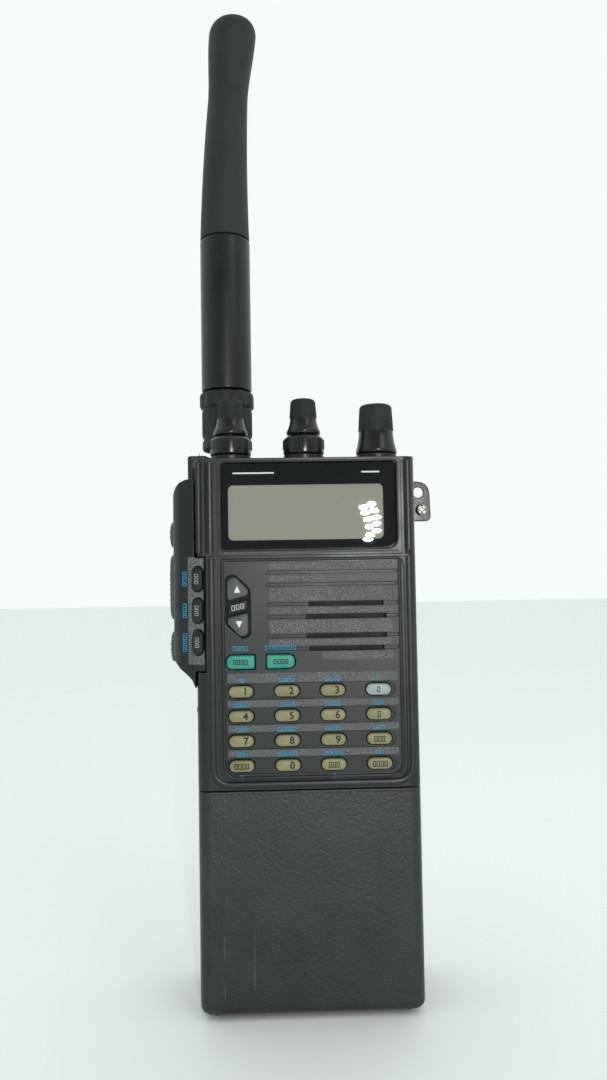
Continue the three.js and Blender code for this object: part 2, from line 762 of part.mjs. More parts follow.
function makeSideHousing() {
  const plan = alongZ(housingPlan(), housingBottom - 1, housingTop + 1, 3);
  const elevation = alongY(housingElevation(), front - 1, housingBack + 1, 5);
  const aboveWing = block(-halfWidth - fitGap, 0, front - 2, back, wingTop, housingTop + 2);
  const belowWing = block(-halfWidth - fitGap, 0, front - 2, back, housingBottom - 2, wingBottom);
  const hollow = block(housingX + housingWall, housingInner + 1, -8, housingBack - 2,
    housingBottom + 5, housingTop - 6);
  const tools = [aboveWing, belowWing, hollow];
  for (const { z, height, depth } of sideButtons) {
    const hole = pill(depth + 2 * fitGap, height + 2 * fitGap);
    tools.push(alongX(hole, housingX - 1, housingX + housingWall + 1, 4)
      .translate([0, sideButtonY, z]));
  }
  const pocket = pill(bevelKeyWidth + 2 * fitGap, bevelKeyHeight + 2 * fitGap);
  for (const { z } of bevelKeys) {
    tools.push(onBevel(alongY(pocket, -2, bevelPocket, 3), z));
  }
  return cutBy(plan.intersect(elevation), tools);
}

function addSideButtons() {
  const flangeX = housingX + housingWall + fitGap;
  for (const { name, z, height, depth } of sideButtons) {
    const dome = alongX(pill(depth, height), housingX - sideButtonProud, flangeX + 0.7, 4, 0.9);
    const flange = alongX(pill(depth + 1.2, height + 1.2), flangeX, flangeX + 0.7, 4);
    const body = dome.add(flange).translate([0, sideButtonY, z]);
    addPiece(name, body, keyGrey);
  }
  const key = alongY(pill(bevelKeyWidth, bevelKeyHeight), -0.3, bevelKeyDepth, 3, 0.2);
  for (const { name, z } of bevelKeys) {
    addPiece(name, onBevel(key, z), rubberBlack);
  }
}

function makeSideBoard() {
  const boardX = housingX + housingWall + fitGap + 0.7 + sideButtonTravel + fitGap;
  return block(boardX, boardX + 1, -7.6, housingBack - 2.4, housingBottom + 5.4, housingTop - 6.4);
}

// ---------------------------------------------------------------- top panel and its controls
const controlX = [-knobPitch, 0, knobPitch];

function makeTopPanel() {
  const x = innerX - fitGap;
  const y = innerBack - fitGap;
  const low = panelTop - panelThickness;
  const panel = alongZ(roundedRectangle(-x, x, -y, y, 0.8), low, panelTop, 2);
  const tools = controlX.map((middle) => {
    const radius = outerShaft + 0.5 + fitGap;
    return turned([[0, low - 1], [radius, low - 1], [radius, panelTop + 1], [0, panelTop + 1]], plainTurn)
      .translate([middle, knobY, 0]);
  });
  const seat = jackBarrel + fitGap;
  tools.push(turned([[0, low - 1], [seat, low - 1], [seat, panelTop + 1], [0, panelTop + 1]], plainTurn)
    .translate([antennaX, antennaY, 0]));
  return cutBy(panel, tools);
}

const controlTop = panelTop - panelThickness - fitGap;
const ringBottom = bodyTop + knobRise;
const ringTop = ringBottom + ringHeight;
const smallBottom = ringTop + fitGap;
const smallTop = smallBottom + smallKnobHeight;
const bigTop = ringBottom + bigKnobHeight;

function makeControl(x, shaftTop, dual) {
  const half = controlSize / 2;
  const can = block(-half, half, -half, half, controlTop - controlHeight, controlTop);
  const bushing = outerShaft + 0.5;
  const profile = [[0, controlTop - 1], [bushing, controlTop - 1], [bushing, bodyTop + 0.2]];
  if (dual) {
    profile.push([outerShaft, bodyTop + 0.2], [outerShaft, ringTop - fitGap - 0.5],
      [innerShaft, ringTop - fitGap - 0.5], [innerShaft, shaftTop], [0, shaftTop]);
  } else {
    profile.push([outerShaft, bodyTop + 0.2], [outerShaft, shaftTop], [0, shaftTop]);
  }
  return can.add(turned(profile, plainTurn)).translate([x, knobY, 0]);
}

function makeRing(x) {
  const bore = outerShaft + fitGap;
  const edge = 0.9;
  const profile = [
    [bore, ringBottom], [ringRadius - 0.5, ringBottom], [ringRadius, ringBottom + 0.5],
    [ringRadius, ringTop - edge], [ringRadius - edge, ringTop], [bore, ringTop],
    [bore, ringBottom],
  ];
  return turned(profile, fineTurn).translate([x, knobY, 0]);
}

// Knobs flare from a slim ribbed grip down to a smooth skirt.
function makeKnob(x, bottom, height, topRadius, skirtRadius, bore, boreTop) {
  const top = bottom + height;
  const grip = bottom + height * 0.42;
  const profile = [
    [bore, bottom], [skirtRadius, bottom], [skirtRadius, bottom + 0.8],
    [(skirtRadius * 2 + topRadius) / 3, bottom + height * 0.2], [topRadius * 1.06, grip],
    [topRadius, top - 0.8], [topRadius - 0.8, top], [0, top],
    [0, boreTop], [bore, boreTop], [bore, bottom],
  ];
  return turned(profile, fineTurn).translate([x, knobY, 0]);
}

function addTopControls() {
  const smallShaft = smallTop - 2.6;
  const bigShaft = bigTop - 2.6;
  const dual = ["volume", "squelch"];
  dual.forEach((name, index) => {
    const x = controlX[index];
    addPiece(`${name}_control`, makeControl(x, smallShaft, true), castMetal);
    addPiece(`${name}_ring`, makeRing(x), rubberBlack);
    addPiece(`${name}_knob`, makeKnob(x, smallBottom, smallKnobHeight, smallKnobTop,
      smallKnobSkirt, innerShaft + fitGap, smallShaft + fitGap), rubberBlack);
  });
  addPiece("tuning_encoder", makeControl(controlX[2], bigShaft, false), castMetal);
  addPiece("tuning_knob", makeKnob(controlX[2], ringBottom, bigKnobHeight, bigKnobTop,
    bigKnobSkirt, outerShaft + fitGap, bigShaft + fitGap), rubberBlack);
}

// ---------------------------------------------------------------- antenna
const jackNutTop = panelTop + fitGap + jackNutHeight;
const jackFloor = jackNutTop + 1.4;
const jackTop = panelTop + fitGap + jackHeight;
const nutBottom = bodyTop + leftShoulder + 2;
const nutTop = nutBottom + nutHeight;
const collarTop = nutTop + collarHeight;
const sleeveBottom = collarTop + 0.5;
const sleeveTop = sleeveBottom + sleeveHeight;
const stemRadius = jackBore - 0.4;

function makeAntennaJack() {
  const low = panelTop - panelThickness - jackDepth;
  const seat = panelTop + fitGap;
  return turned([
    [0, low], [jackBarrel, low], [jackBarrel, seat], [jackNutRadius, seat],
    [jackNutRadius, jackNutTop], [jackBarrel, jackNutTop], [jackBarrel, jackTop], [jackBore, jackTop],
    [jackBore, jackFloor], [jackPin, jackFloor], [jackPin, jackTop - 3], [0, jackTop - 3],
  ], plainTurn).translate([antennaX, antennaY, 0]);
}

function makeCollar() {
  const bore = jackBarrel + 1.3;
  const neck = stemRadius + fitGap;
  const webBottom = nutTop - 0.9;
  return turned([
    [bore, nutBottom], [nutRadius - 0.6, nutBottom], [nutRadius, nutBottom + 0.6],
    [nutRadius, nutTop], [collarRadius, nutTop + 0.3], [collarRadius, collarTop - 0.8],
    [collarRadius - 0.8, collarTop], [neck, collarTop], [neck, webBottom], [bore, webBottom],
    [bore, nutBottom],
  ], fineTurn).translate([antennaX, antennaY, 0]);
}

function makeSleeve() {
  const socket = jackPin + 0.5;
  const stemBottom = jackFloor + fitGap;
  const shoulderTop = nutTop - 0.9 - fitGap;
  const shoulder = jackBarrel + 0.8;
  return turned([
    [socket, stemBottom], [stemRadius, stemBottom], [stemRadius, jackTop + fitGap],
    [shoulder, jackTop + fitGap], [shoulder, shoulderTop], [stemRadius, shoulderTop],
    [stemRadius, sleeveBottom], [sleeveRadius - 0.4, sleeveBottom],
    [sleeveRadius, sleeveBottom + 0.4], [sleeveRadius, sleeveTop - 0.4],
    [sleeveRadius - 0.4, sleeveTop], [0, sleeveTop], [0, jackTop - 2], [socket, jackTop - 2],
    [socket, stemBottom],
  ], fineTurn).translate([antennaX, antennaY, 0]);
}

// The rubber whip narrows to a waist, swells to a cap and has taken a slight sideways set.
function makeWhip() {
  const low = sleeveTop + fitGap;
  const rise = (share) => low + whipHeight * share;
  const profile = [[0, low], [whipBase - 0.3, low], [whipBase, low + 0.3]];
  for (let step = 1; step <= 6; step += 1) {
    const share = step / 6 * whipTaper;
    profile.push([THREE.MathUtils.lerp(whipBase, whipWaist, step / 6), rise(share)]);
  }
  profile.push([whipWaist + 0.15, rise(0.76)], [whipCap - 0.25, rise(0.87)], [whipCap, rise(0.93)]);
  const capRound = whipHeight * 0.07;
  for (let step = 1; step <= 3; step += 1) {
    const angle = step / 4 * Math.PI / 2;
    profile.push([whipCap * Math.cos(angle) ** 0.6, rise(0.93) + capRound * Math.sin(angle)]);
  }
  profile.push([0, rise(1)]);
  const body = turned(profile, fineTurn);
  const bent = body.warp((point) => {
    const share = Math.max(0, (point[2] - low) / whipHeight);
    point[0] += whipBend * share * share;
  });
  return bent.translate([antennaX, antennaY, 0]);
}

// ---------------------------------------------------------------- strap lug
function makeStrapLug() {
  const x0 = halfWidth + fitGap;
  const x1 = halfWidth + lugWidth;
  const top = lugZ + lugHeight;
  const outline = roundedOutline([
    [x0, lugZ, 0.4], [x1, lugZ, 1.6], [x1 - 0.4, top, 4], [x0, top, 0.4],
  ]);
  const plate = alongY(outline, lugFront, lugFront + lugThickness, 4);
  const holes = [[lugScrewX - 0.8, lugScrewZ + lugHoleRise, lugHole], [lugScrewX, lugScrewZ, 1.2]];
  return cutBy(plate, holes.map(([x, z, radius]) => {
    const drill = new THREE.CylinderGeometry(radius, radius, 6, 16).translate(x, lugFront, z);
    return solid(drill);
  }));
}

function makeStrapScrew() {
  const head = 1;
  const shank = 0.9;
  const profile = [
    [0, 0], [shank, 0], [shank, lugThickness + 3], [lugScrew, lugThickness + 3],
    [lugScrew, lugThickness + 3 + head * 0.5], [lugScrew * 0.7, lugThickness + 3 + head],
    [0, lugThickness + 3 + head],
  ];
  const tip = lugFront - fitGap + lugThickness + 3;
  const screw = aboutY(turned(profile, smallTurn), lugScrewX, tip, lugScrewZ);
  const slotFront = tip - lugThickness - 3 - head;
  const slots = [[1.2, 0.25], [0.25, 1.2]].map(([x, z]) => block(lugScrewX - x, lugScrewX + x,
    slotFront - 1, slotFront + 0.5, lugScrewZ - z, lugScrewZ + z));
  return cutBy(screw, slots);
}

// ---------------------------------------------------------------- assembly
addPiece("battery_case", makeBatteryCase(), grainedPlastic);
addPiece("battery_lid", makeBatteryLid(), blackPlastic);
addPiece("cell_pack", makeCellPack(), cellBlue);
addPiece("base_plate", makeBasePlate(), blackPlastic);
addPiece("battery_latch", makeBatteryLatch(), keyGrey);
addPiece("front_case", makeFrontCase(), blackPlastic);
addPiece("rear_case", makeRearCase(), grainedPlastic);
addPiece("display_window", makeWindow(), glossBlack);
addPiece("lcd_panel", makeDisplay(), displayGrey);
addPiece("speaker", makeSpeaker(), castMetal);
addPiece("microphone", makeMicrophone(), castMetal);
addPiece("keypad_mat", makeKeypadMat(), rubberBlack);
addPiece("control_board", makeControlBoard(), boardGreen);
addPiece("chassis", makeChassis(), castMetal);
addPiece("main_board", makeMainBoard(), boardGreen);
addKeys();
addPiece("side_housing", makeSideHousing(), blackPlastic);
addPiece("side_board", makeSideBoard(), boardGreen);
addSideButtons();
addPiece("top_panel", makeTopPanel(), blackPlastic);
addTopControls();
addPiece("antenna_jack", makeAntennaJack(), platedMetal);
addPiece("antenna_collar", makeCollar(), rubberBlack);
addPiece("antenna_sleeve", makeSleeve(), rubberBlack);
addPiece("antenna_whip", makeWhip(), rubberBlack);
addPiece("strap_lug", makeStrapLug(), blackMetal);
addPiece("strap_screw", makeStrapScrew(), platedMetal);

export default radioPart;
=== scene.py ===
import json
import math

import bmesh
import bpy
from mathutils import Matrix, Vector

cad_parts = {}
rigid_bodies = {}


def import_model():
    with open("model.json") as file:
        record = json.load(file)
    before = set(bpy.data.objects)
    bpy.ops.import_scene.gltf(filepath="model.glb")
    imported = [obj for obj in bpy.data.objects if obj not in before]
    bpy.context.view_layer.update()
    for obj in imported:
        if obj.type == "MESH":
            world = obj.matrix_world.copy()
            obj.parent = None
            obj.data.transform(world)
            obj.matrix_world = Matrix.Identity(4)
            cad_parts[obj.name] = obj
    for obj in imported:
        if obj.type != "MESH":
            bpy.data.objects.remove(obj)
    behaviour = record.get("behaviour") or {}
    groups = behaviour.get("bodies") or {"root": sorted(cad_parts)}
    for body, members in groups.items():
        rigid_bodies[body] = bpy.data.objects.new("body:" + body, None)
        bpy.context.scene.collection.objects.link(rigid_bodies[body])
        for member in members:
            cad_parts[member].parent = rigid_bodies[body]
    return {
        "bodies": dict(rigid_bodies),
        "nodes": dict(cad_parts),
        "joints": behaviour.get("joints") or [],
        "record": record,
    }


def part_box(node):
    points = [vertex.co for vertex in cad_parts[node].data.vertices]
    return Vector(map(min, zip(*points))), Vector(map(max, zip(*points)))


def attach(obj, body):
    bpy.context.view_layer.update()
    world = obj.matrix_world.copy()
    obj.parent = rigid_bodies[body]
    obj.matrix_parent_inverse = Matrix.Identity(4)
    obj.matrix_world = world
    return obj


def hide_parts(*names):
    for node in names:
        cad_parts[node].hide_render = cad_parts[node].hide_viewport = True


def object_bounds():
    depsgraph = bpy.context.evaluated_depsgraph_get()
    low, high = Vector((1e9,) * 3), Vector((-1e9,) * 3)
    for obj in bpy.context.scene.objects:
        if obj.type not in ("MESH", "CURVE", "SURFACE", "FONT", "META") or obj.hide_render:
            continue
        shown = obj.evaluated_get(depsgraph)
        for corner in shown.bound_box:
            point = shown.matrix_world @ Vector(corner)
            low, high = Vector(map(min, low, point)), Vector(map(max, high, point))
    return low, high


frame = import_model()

mm = 0.001
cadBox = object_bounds()
nodes = frame["nodes"]
bodyOf = {n: b for b, members in frame["record"]["behaviour"]["bodies"].items() for n in members}
slotOf = {s["node"]: s["material_slot"] for s in frame["record"]["subparts"]}
print("frame loaded,", len(nodes), "nodes")


# node helpers

def wire(tree, source, target):
    tree.links.new(source, target)


def addNode(tree, kind, **settings):
    node = tree.nodes.new(kind)
    for key, value in settings.items():
        setattr(node, key, value)
    return node


def noiseNode(tree, place, scale, detail=3.0, roughness=0.5):
    node = addNode(tree, "ShaderNodeTexNoise")
    node.inputs["Scale"].default_value = scale
    node.inputs["Detail"].default_value = detail
    node.inputs["Roughness"].default_value = roughness
    wire(tree, place, node.inputs["Vector"])
    return node.outputs["Fac"]


def spread(tree, value, low, high, toLow=0.0, toHigh=1.0):
    node = addNode(tree, "ShaderNodeMapRange")
    wire(tree, value, node.inputs["Value"])
    for name, number in (("From Min", low), ("From Max", high), ("To Min", toLow), ("To Max", toHigh)):
        node.inputs[name].default_value = number
    return node.outputs["Result"]


# camera, floor and light

cameraValues = {"x": -6.6, "distance": 211.7, "z": 112.2, "yaw": 1.61, "pitch": 2.48, "roll": -0.96,
                "lens": 27.03}
studio = {"floorSize": 6.0, "floorColor": (0.97, 1.0, 1.0), "worldColor": (0.95, 1.0, 1.0),
          "worldBehind": 0.97, "worldFront": 0.3}
lampColor = (1.0, 0.99, 0.97)
lampTarget = (0, 0, 0.11)
upperLamp = {"at": (0.55, -0.75, 0.75), "size": (0.5, 0.5), "power": 1.2}

# the key light is a cluster of small lamps: their places across and up from its middle, in mm
keyCluster = {"at": (0.117, -0.908, 0.184), "size": (0.0115, 0.0055), "power": 0.25,
              "spots": [(-9, 20), (1, 24), (-7, 12), (5, 15), (-4, 3), (8, 6), (-2, -7), (8, -3),
                        (-1, -18), (8, -13), (-4, -24)]}


def makeLamp(name, at, size, power):
    data = bpy.data.lights.new(name, "AREA")
    data.shape = "ELLIPSE" if size[0] < 0.1 else "RECTANGLE"
    data.size, data.size_y = size
    data.energy = power
    data.color = lampColor
    light = bpy.data.objects.new(name, data)
    light.location = at
    light.visible_camera = False
    light.rotation_euler = (Vector(lampTarget) - Vector(at)).to_track_quat("-Z", "Y").to_euler()
    bpy.context.scene.collection.objects.link(light)


def makeCamera():
    values = cameraValues
    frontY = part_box("front_case")[0].y
    yaw, pitch, roll = (math.radians(values[k]) for k in ("yaw", "pitch", "roll"))
    forward = Vector((math.sin(yaw) * math.cos(pitch), math.cos(yaw) * math.cos(pitch), math.sin(pitch)))
    right = Vector((math.cos(yaw), -math.sin(yaw), 0))
    up = right.cross(forward)
    turnedRight = right * math.cos(roll) + up * math.sin(roll)
    turnedUp = up * math.cos(roll) - right * math.sin(roll)
    data = bpy.data.cameras.new("camera")
    data.lens = values["lens"]
    data.sensor_width = 36
    data.clip_start = 0.01
    camera = bpy.data.objects.new("camera", data)
    rotation = Matrix((turnedRight, turnedUp, -forward)).transposed().to_4x4()
    place = Vector((values["x"] * mm, frontY - values["distance"] * mm, values["z"] * mm))
    camera.matrix_world = Matrix.Translation(place) @ rotation
    bpy.context.scene.collection.objects.link(camera)
    bpy.context.scene.camera = camera


def makeStudio():
    lowest = cadBox[0].z
    bpy.ops.mesh.primitive_plane_add(size=studio["floorSize"], location=(0, 0, lowest))
    floor = bpy.context.object
    floor.name = "floor"
    material = bpy.data.materials.new("paleFloor")
    material.use_nodes = True
    shader = material.node_tree.nodes["Principled BSDF"]
    shader.inputs["Base Color"].default_value = (*studio["floorColor"], 1)
    shader.inputs["Roughness"].default_value = 0.6
    floor.data.materials.append(material)
    world = bpy.data.worlds.new("paleWorld")
    world.use_nodes = True
    background = world.node_tree.nodes["Background"]
    background.inputs[0].default_value = (*studio["worldColor"], 1)
    # dimmer light on the front keeps dark plastics deep, and the backdrop is pale from every side
    tree = world.node_tree
    parts = addNode(tree, "ShaderNodeSeparateXYZ")
    wire(tree, addNode(tree, "ShaderNodeTexCoord").outputs["Generated"], parts.inputs[0])
    lighting = spread(tree, parts.outputs["Y"], -0.8, -0.1, studio["worldFront"], studio["worldBehind"])
    seen = addNode(tree, "ShaderNodeLightPath").outputs["Is Camera Ray"]
    strength = addNode(tree, "ShaderNodeMath", operation="MAXIMUM")
    wire(tree, lighting, strength.inputs[0])
    wire(tree, spread(tree, seen, 0, 1, 0, studio["worldBehind"]), strength.inputs[1])
    wire(tree, strength.outputs[0], background.inputs[1])
    bpy.context.scene.world = world
    bpy.context.scene.view_settings.view_transform = "Standard"
    makeLamp("upperLamp", upperLamp["at"], upperLamp["size"], upperLamp["power"])
    for index, (across, up) in enumerate(keyCluster["spots"]):
        place = Vector(keyCluster["at"]) + Vector((across, 0, up)) * mm
        makeLamp("keyLamp" + str(index), place, keyCluster["size"], keyCluster["power"])


makeCamera()
makeStudio()
print("camera and studio made")


# materials, all read from object coordinates in metres

def combine(tree, operation, first, second):
    node = addNode(tree, "ShaderNodeMath", operation=operation)
    for index, value in enumerate((first, second)):
        if isinstance(value, (int, float)):
            node.inputs[index].default_value = value
        else:
            wire(tree, value, node.inputs[index])
    return node.outputs[0]


def blendColors(tree, share, first, second):
    node = addNode(tree, "ShaderNodeMix", data_type="RGBA")
    wire(tree, share, node.inputs["Factor"])
    for socket, value in ((node.inputs[6], first), (node.inputs[7], second)):
        if isinstance(value, tuple):
            socket.default_value = (*value, 1)
        else:
            wire(tree, value, socket)
    return node.outputs[2]


# A box in X and Z, as 1 inside and 0 outside, with soft edges.
def insideBox(tree, place, x0, x1, z0, z1, soft=0.4):
    parts = addNode(tree, "ShaderNodeSeparateXYZ")
    wire(tree, place, parts.inputs[0])
    edges = [
        spread(tree, parts.outputs["X"], (x0 - soft) * mm, (x0 + soft) * mm),
        spread(tree, parts.outputs["X"], (x1 + soft) * mm, (x1 - soft) * mm),
        spread(tree, parts.outputs["Z"], (z0 - soft) * mm, (z0 + soft) * mm),
        spread(tree, parts.outputs["Z"], (z1 + soft) * mm, (z1 - soft) * mm),
    ]
    result = edges[0]
    for edge in edges[1:]:
        result = combine(tree, "MINIMUM", result, edge)
    return result


finishParts = ("dark", "light", "mottle", "wearAndEdgeSheen", "wearAndEdgeSheenAmount", "rough", "grain", "grainHeight", "fine",
               "fineHeight", "specular")
# each row in the order above: two tones and the scale of their mottle, the tone of edges, rubbed and
# painted with a highlight, and its amount, the range of roughness, the scale and height of the grain and the
# fine grain, specular
finishRows = {
    "smoothCase": ((0.007, 0.01, 0.011), (0.015, 0.02, 0.021), 90, (0.11, 0.13, 0.13), 0.55,
        (0.27, 0.4), 2600, 0.006, 5200, 0.003, 0.38),
    "grainCase": ((0.006, 0.009, 0.009), (0.016, 0.021, 0.021), 70, (0.12, 0.14, 0.14), 0.5,
        (0.32, 0.42), 1500, 0.085, 4200, 0.03, 0.5),
    "panelGrain": ((0.014, 0.018, 0.019), (0.03, 0.037, 0.038), 120, (0.12, 0.14, 0.14), 0.4,
        (0.31, 0.42), 2700, 0.16, 6000, 0.06, 1.0),
    "deepBlack": ((0.005, 0.007, 0.008), (0.01, 0.013, 0.014), 150, (0.04, 0.05, 0.05), 0.3,
        (0.45, 0.6), 2600, 0.01, 5200, 0.004, 0.25),
    "rubberBlack": ((0.009, 0.012, 0.013), (0.019, 0.024, 0.025), 160, (0.1, 0.11, 0.11), 0.5,
        (0.5, 0.68), 2400, 0.018, 6400, 0.012, 0.32),
    "whipRubber": ((0.015, 0.019, 0.018), (0.025, 0.03, 0.029), 60, (0.08, 0.09, 0.09), 0.3,
        (0.52, 0.66), 2200, 0.016, 5200, 0.01, 0.28),
    "satinSleeve": ((0.007, 0.01, 0.01), (0.014, 0.018, 0.018), 70, (0.1, 0.11, 0.11), 0.4,
        (0.26, 0.36), 1900, 0.006, 5200, 0.004, 0.32),
    "glossKnob": ((0.005, 0.007, 0.008), (0.011, 0.014, 0.015), 190, (0.1, 0.11, 0.11), 0.5,
        (0.16, 0.28), 2600, 0.003, 5200, 0.002, 0.45),
    "keyCream": ((0.183, 0.174, 0.078), (0.266, 0.25, 0.12), 260, (0.45, 0.44, 0.31), 0.35,
        (0.38, 0.52), 3400, 0.006, 7000, 0.004, 0.5),
    "keyPale": ((0.25, 0.325, 0.315), (0.355, 0.43, 0.42), 260, (0.5, 0.55, 0.55), 0.3,
        (0.38, 0.52), 3400, 0.006, 7000, 0.004, 0.5),
    "keyGreen": ((0.007, 0.215, 0.165), (0.014, 0.3, 0.232), 240, (0.1, 0.5, 0.38), 0.3,
        (0.34, 0.48), 3400, 0.006, 7000, 0.004, 0.5),
    "keyGrey": ((0.055, 0.068, 0.062), (0.085, 0.1, 0.093), 240, (0.2, 0.22, 0.2), 0.4,
        (0.42, 0.58), 3000, 0.01, 7000, 0.006, 0.48),
    "castMetal": ((0.3, 0.31, 0.32), (0.47, 0.48, 0.49), 320, (0.65, 0.66, 0.67), 0.4,
        (0.36, 0.55), 2200, 0.02, 5200, 0.012, 0.5),
    "blackMetal": ((0.016, 0.019, 0.02), (0.03, 0.034, 0.036), 320, (0.36, 0.35, 0.32), 0.8,
        (0.28, 0.44), 2600, 0.012, 5200, 0.006, 0.5),
    "plated": ((0.34, 0.32, 0.27), (0.52, 0.5, 0.44), 520, (0.75, 0.73, 0.68), 0.5,
        (0.22, 0.4), 3200, 0.01, 7000, 0.006, 0.5),
    "boardGreen": ((0.012, 0.085, 0.04), (0.03, 0.15, 0.08), 420, (0.2, 0.3, 0.2), 0.4,
        (0.34, 0.5), 3400, 0.012, 7000, 0.006, 0.5),
    "cellWrap": ((0.02, 0.06, 0.18), (0.04, 0.1, 0.27), 260, (0.2, 0.25, 0.4), 0.3,
        (0.26, 0.42), 1800, 0.012, 5200, 0.004, 0.5),
    "displayGlass": ((0.236, 0.244, 0.194), (0.276, 0.283, 0.228), 30, (0.35, 0.37, 0.33), 0.0,
        (0.3, 0.36), 3000, 0.002, 7000, 0.001, 0.5),
    "glossWindow": ((0.003, 0.005, 0.006), (0.007, 0.009, 0.01), 60, (0.05, 0.06, 0.06), 0.2,
        (0.008, 0.014), 900, 0.0, 5200, 0.0, 0.4),
    "printBlue": ((0.02, 0.34, 0.62), (0.05, 0.5, 0.82), 700, (0.3, 0.6, 0.7), 0.2,
        (0.4, 0.55), 3400, 0.004, 7000, 0.003, 0.4),
    "printWhite": ((0.66, 0.7, 0.69), (0.84, 0.87, 0.86), 700, (0.9, 0.9, 0.9), 0.1,
        (0.4, 0.55), 3400, 0.004, 7000, 0.003, 0.4),
    "printDark": ((0.012, 0.012, 0.009), (0.028, 0.027, 0.02), 900, (0.1, 0.1, 0.08), 0.1,
        (0.5, 0.6), 3400, 0.004, 7000, 0.003, 0.4),
}
finishes = {name: dict(zip(finishParts, row)) for name, row in finishRows.items()}
metals = ("castMetal", "plated")
edgeReach = 0.3     # how far from an edge the rubbed tone and painted edge highlight start, in mm


def makeFinish(name, values):
    material = bpy.data.materials.new(name)
    material.use_nodes = True
    tree = material.node_tree
    shader = tree.nodes["Principled BSDF"]
    place = addNode(tree, "ShaderNodeTexCoord").outputs["Object"]

    mottle = spread(tree, noiseNode(tree, place, values["mottle"], 5.0, 0.6), 0.3, 0.7)
    color = blendColors(tree, mottle, values["dark"], values["light"])

    # the edge tone is rub wear plus a painted highlight: edges are found where the rounded normal leaves the
    # plain one
    rounded = addNode(tree, "ShaderNodeBevel", samples=4)
    rounded.inputs["Radius"].default_value = edgeReach * mm
    plain = addNode(tree, "ShaderNodeNewGeometry").outputs["Normal"]
    match = addNode(tree, "ShaderNodeVectorMath", operation="DOT_PRODUCT")
    wire(tree, rounded.outputs[0], match.inputs[0])
    wire(tree, plain, match.inputs[1])
    rubbedAndSheenEdges = combine(tree, "MULTIPLY", spread(tree, match.outputs["Value"], 0.99, 0.86),
                     spread(tree, noiseNode(tree, place, 240, 4.0, 0.7), 0.35, 0.75))
    wearAndEdgeSheen = combine(tree, "MULTIPLY", rubbedAndSheenEdges, values["wearAndEdgeSheenAmount"])
    color = blendColors(tree, wearAndEdgeSheen, color, values["wearAndEdgeSheen"])
    wire(tree, color, shader.inputs["Base Color"])

    patchy = noiseNode(tree, place, values["mottle"] * 0.6, 4.0, 0.6)
    wire(tree, spread(tree, patchy, 0.3, 0.7, *values["rough"]), shader.inputs["Roughness"])

    cells = addNode(tree, "ShaderNodeTexVoronoi", feature="SMOOTH_F1")
    cells.inputs["Scale"].default_value = values["grain"]
    wire(tree, place, cells.inputs["Vector"])
    coarse = combine(tree, "MULTIPLY", cells.outputs["Distance"], values["grainHeight"])
    fine = combine(tree, "MULTIPLY", noiseNode(tree, place, values["fine"], 2.0), values["fineHeight"])
    bump = addNode(tree, "ShaderNodeBump")
    bump.inputs["Strength"].default_value = 1.0
    bump.inputs["Distance"].default_value = mm
    wire(tree, combine(tree, "ADD", coarse, fine), bump.inputs["Height"])
    wire(tree, rounded.outputs[0], bump.inputs["Normal"])
    wire(tree, bump.outputs["Normal"], shader.inputs["Normal"])

    shader.inputs["Specular IOR Level"].default_value = values["specular"]
    shader.inputs["Metallic"].default_value = 1.0 if name in metals else 0.0
    return material


finish = {name: makeFinish(name, values) for name, values in finishes.items()}


# The battery's front carries a few pale rub marks low on its left side.
rubMarks = {"across": 900, "along": 60, "x": (-24, -12), "z": (3, 36), "color": (0.13, 0.15, 0.15)}


def addRubMarks(material):
    tree = material.node_tree
    shader = tree.nodes["Principled BSDF"]
    place = addNode(tree, "ShaderNodeTexCoord").outputs["Object"]
    stretch = addNode(tree, "ShaderNodeMapping")
    stretch.inputs["Scale"].default_value = (rubMarks["across"], rubMarks["across"], rubMarks["along"])
    wire(tree, place, stretch.inputs["Vector"])
    streaks = spread(tree, noiseNode(tree, stretch.outputs[0], 1.0, 2.0), 0.66, 0.78)
    zone = insideBox(tree, place, *rubMarks["x"], *rubMarks["z"], soft=3)
    share = combine(tree, "MULTIPLY", combine(tree, "MULTIPLY", streaks, zone), 0.7)
    before = shader.inputs["Base Color"].links[0].from_socket
    wire(tree, blendColors(tree, share, before, rubMarks["color"]), shader.inputs["Base Color"])


addRubMarks(finish["grainCase"])
print(len(finish), "materials made")


# mesh helpers, in millimetres until a mesh is finished

def plane(origin, across, up):
    across, up = Vector(across).normalized(), Vector(up).normalized()
    out = across.cross(up)
    return Matrix.Translation(Vector(origin)) @ Matrix((across, up, out)).transposed().to_4x4()


def facingFront(x, y, z):
    return plane((x, y, z), (1, 0, 0), (0, 0, 1))


def facingLeft(x, y, z):
    return plane((x, y, z), (0, -1, 0), (0, 0, 1))


def facingBack(x, y, z):
    return plane((x, y, z), (-1, 0, 0), (0, 0, 1))


def boxOf(node):
    low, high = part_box(node)
    return low / mm, high / mm


def middleOf(node):
    low, high = boxOf(node)
    return (low + high) / 2


def bezierCorners(corners, steps=6):
    points = []
    count = len(corners)
    for index, (x, y, radius) in enumerate(corners):
        corner = Vector((x, y))
        before = Vector(corners[index - 1][:2])
        after = Vector(corners[(index + 1) % count][:2])
        if radius == 0:
            points.append(corner)
            continue
        reach = min(radius, (before - corner).length / 2, (after - corner).length / 2)
        enter = corner + (before - corner).normalized() * reach
        leave = corner + (after - corner).normalized() * reach
        for step in range(steps + 1):
            t = step / steps
            points.append(enter * (1 - t) ** 2 + corner * 2 * t * (1 - t) + leave * t ** 2)
    return points


def rectangle(x0, x1, y0, y1, radius, steps=6):
    return bezierCorners([(x0, y0, radius), (x1, y0, radius), (x1, y1, radius), (x0, y1, radius)], steps)


def pill(width, height, steps=12):
    radius = min(width, height) / 2
    reach = Vector((width / 2 - radius, height / 2 - radius))
    start = -math.pi / 2 if width >= height else 0
    points = []
    for side in (1, -1):
        for step in range(steps + 1):
            angle = start + math.pi * step / steps + (0 if side == 1 else math.pi)
            points.append(reach * side + Vector((math.cos(angle), math.sin(angle))) * radius)
    return points


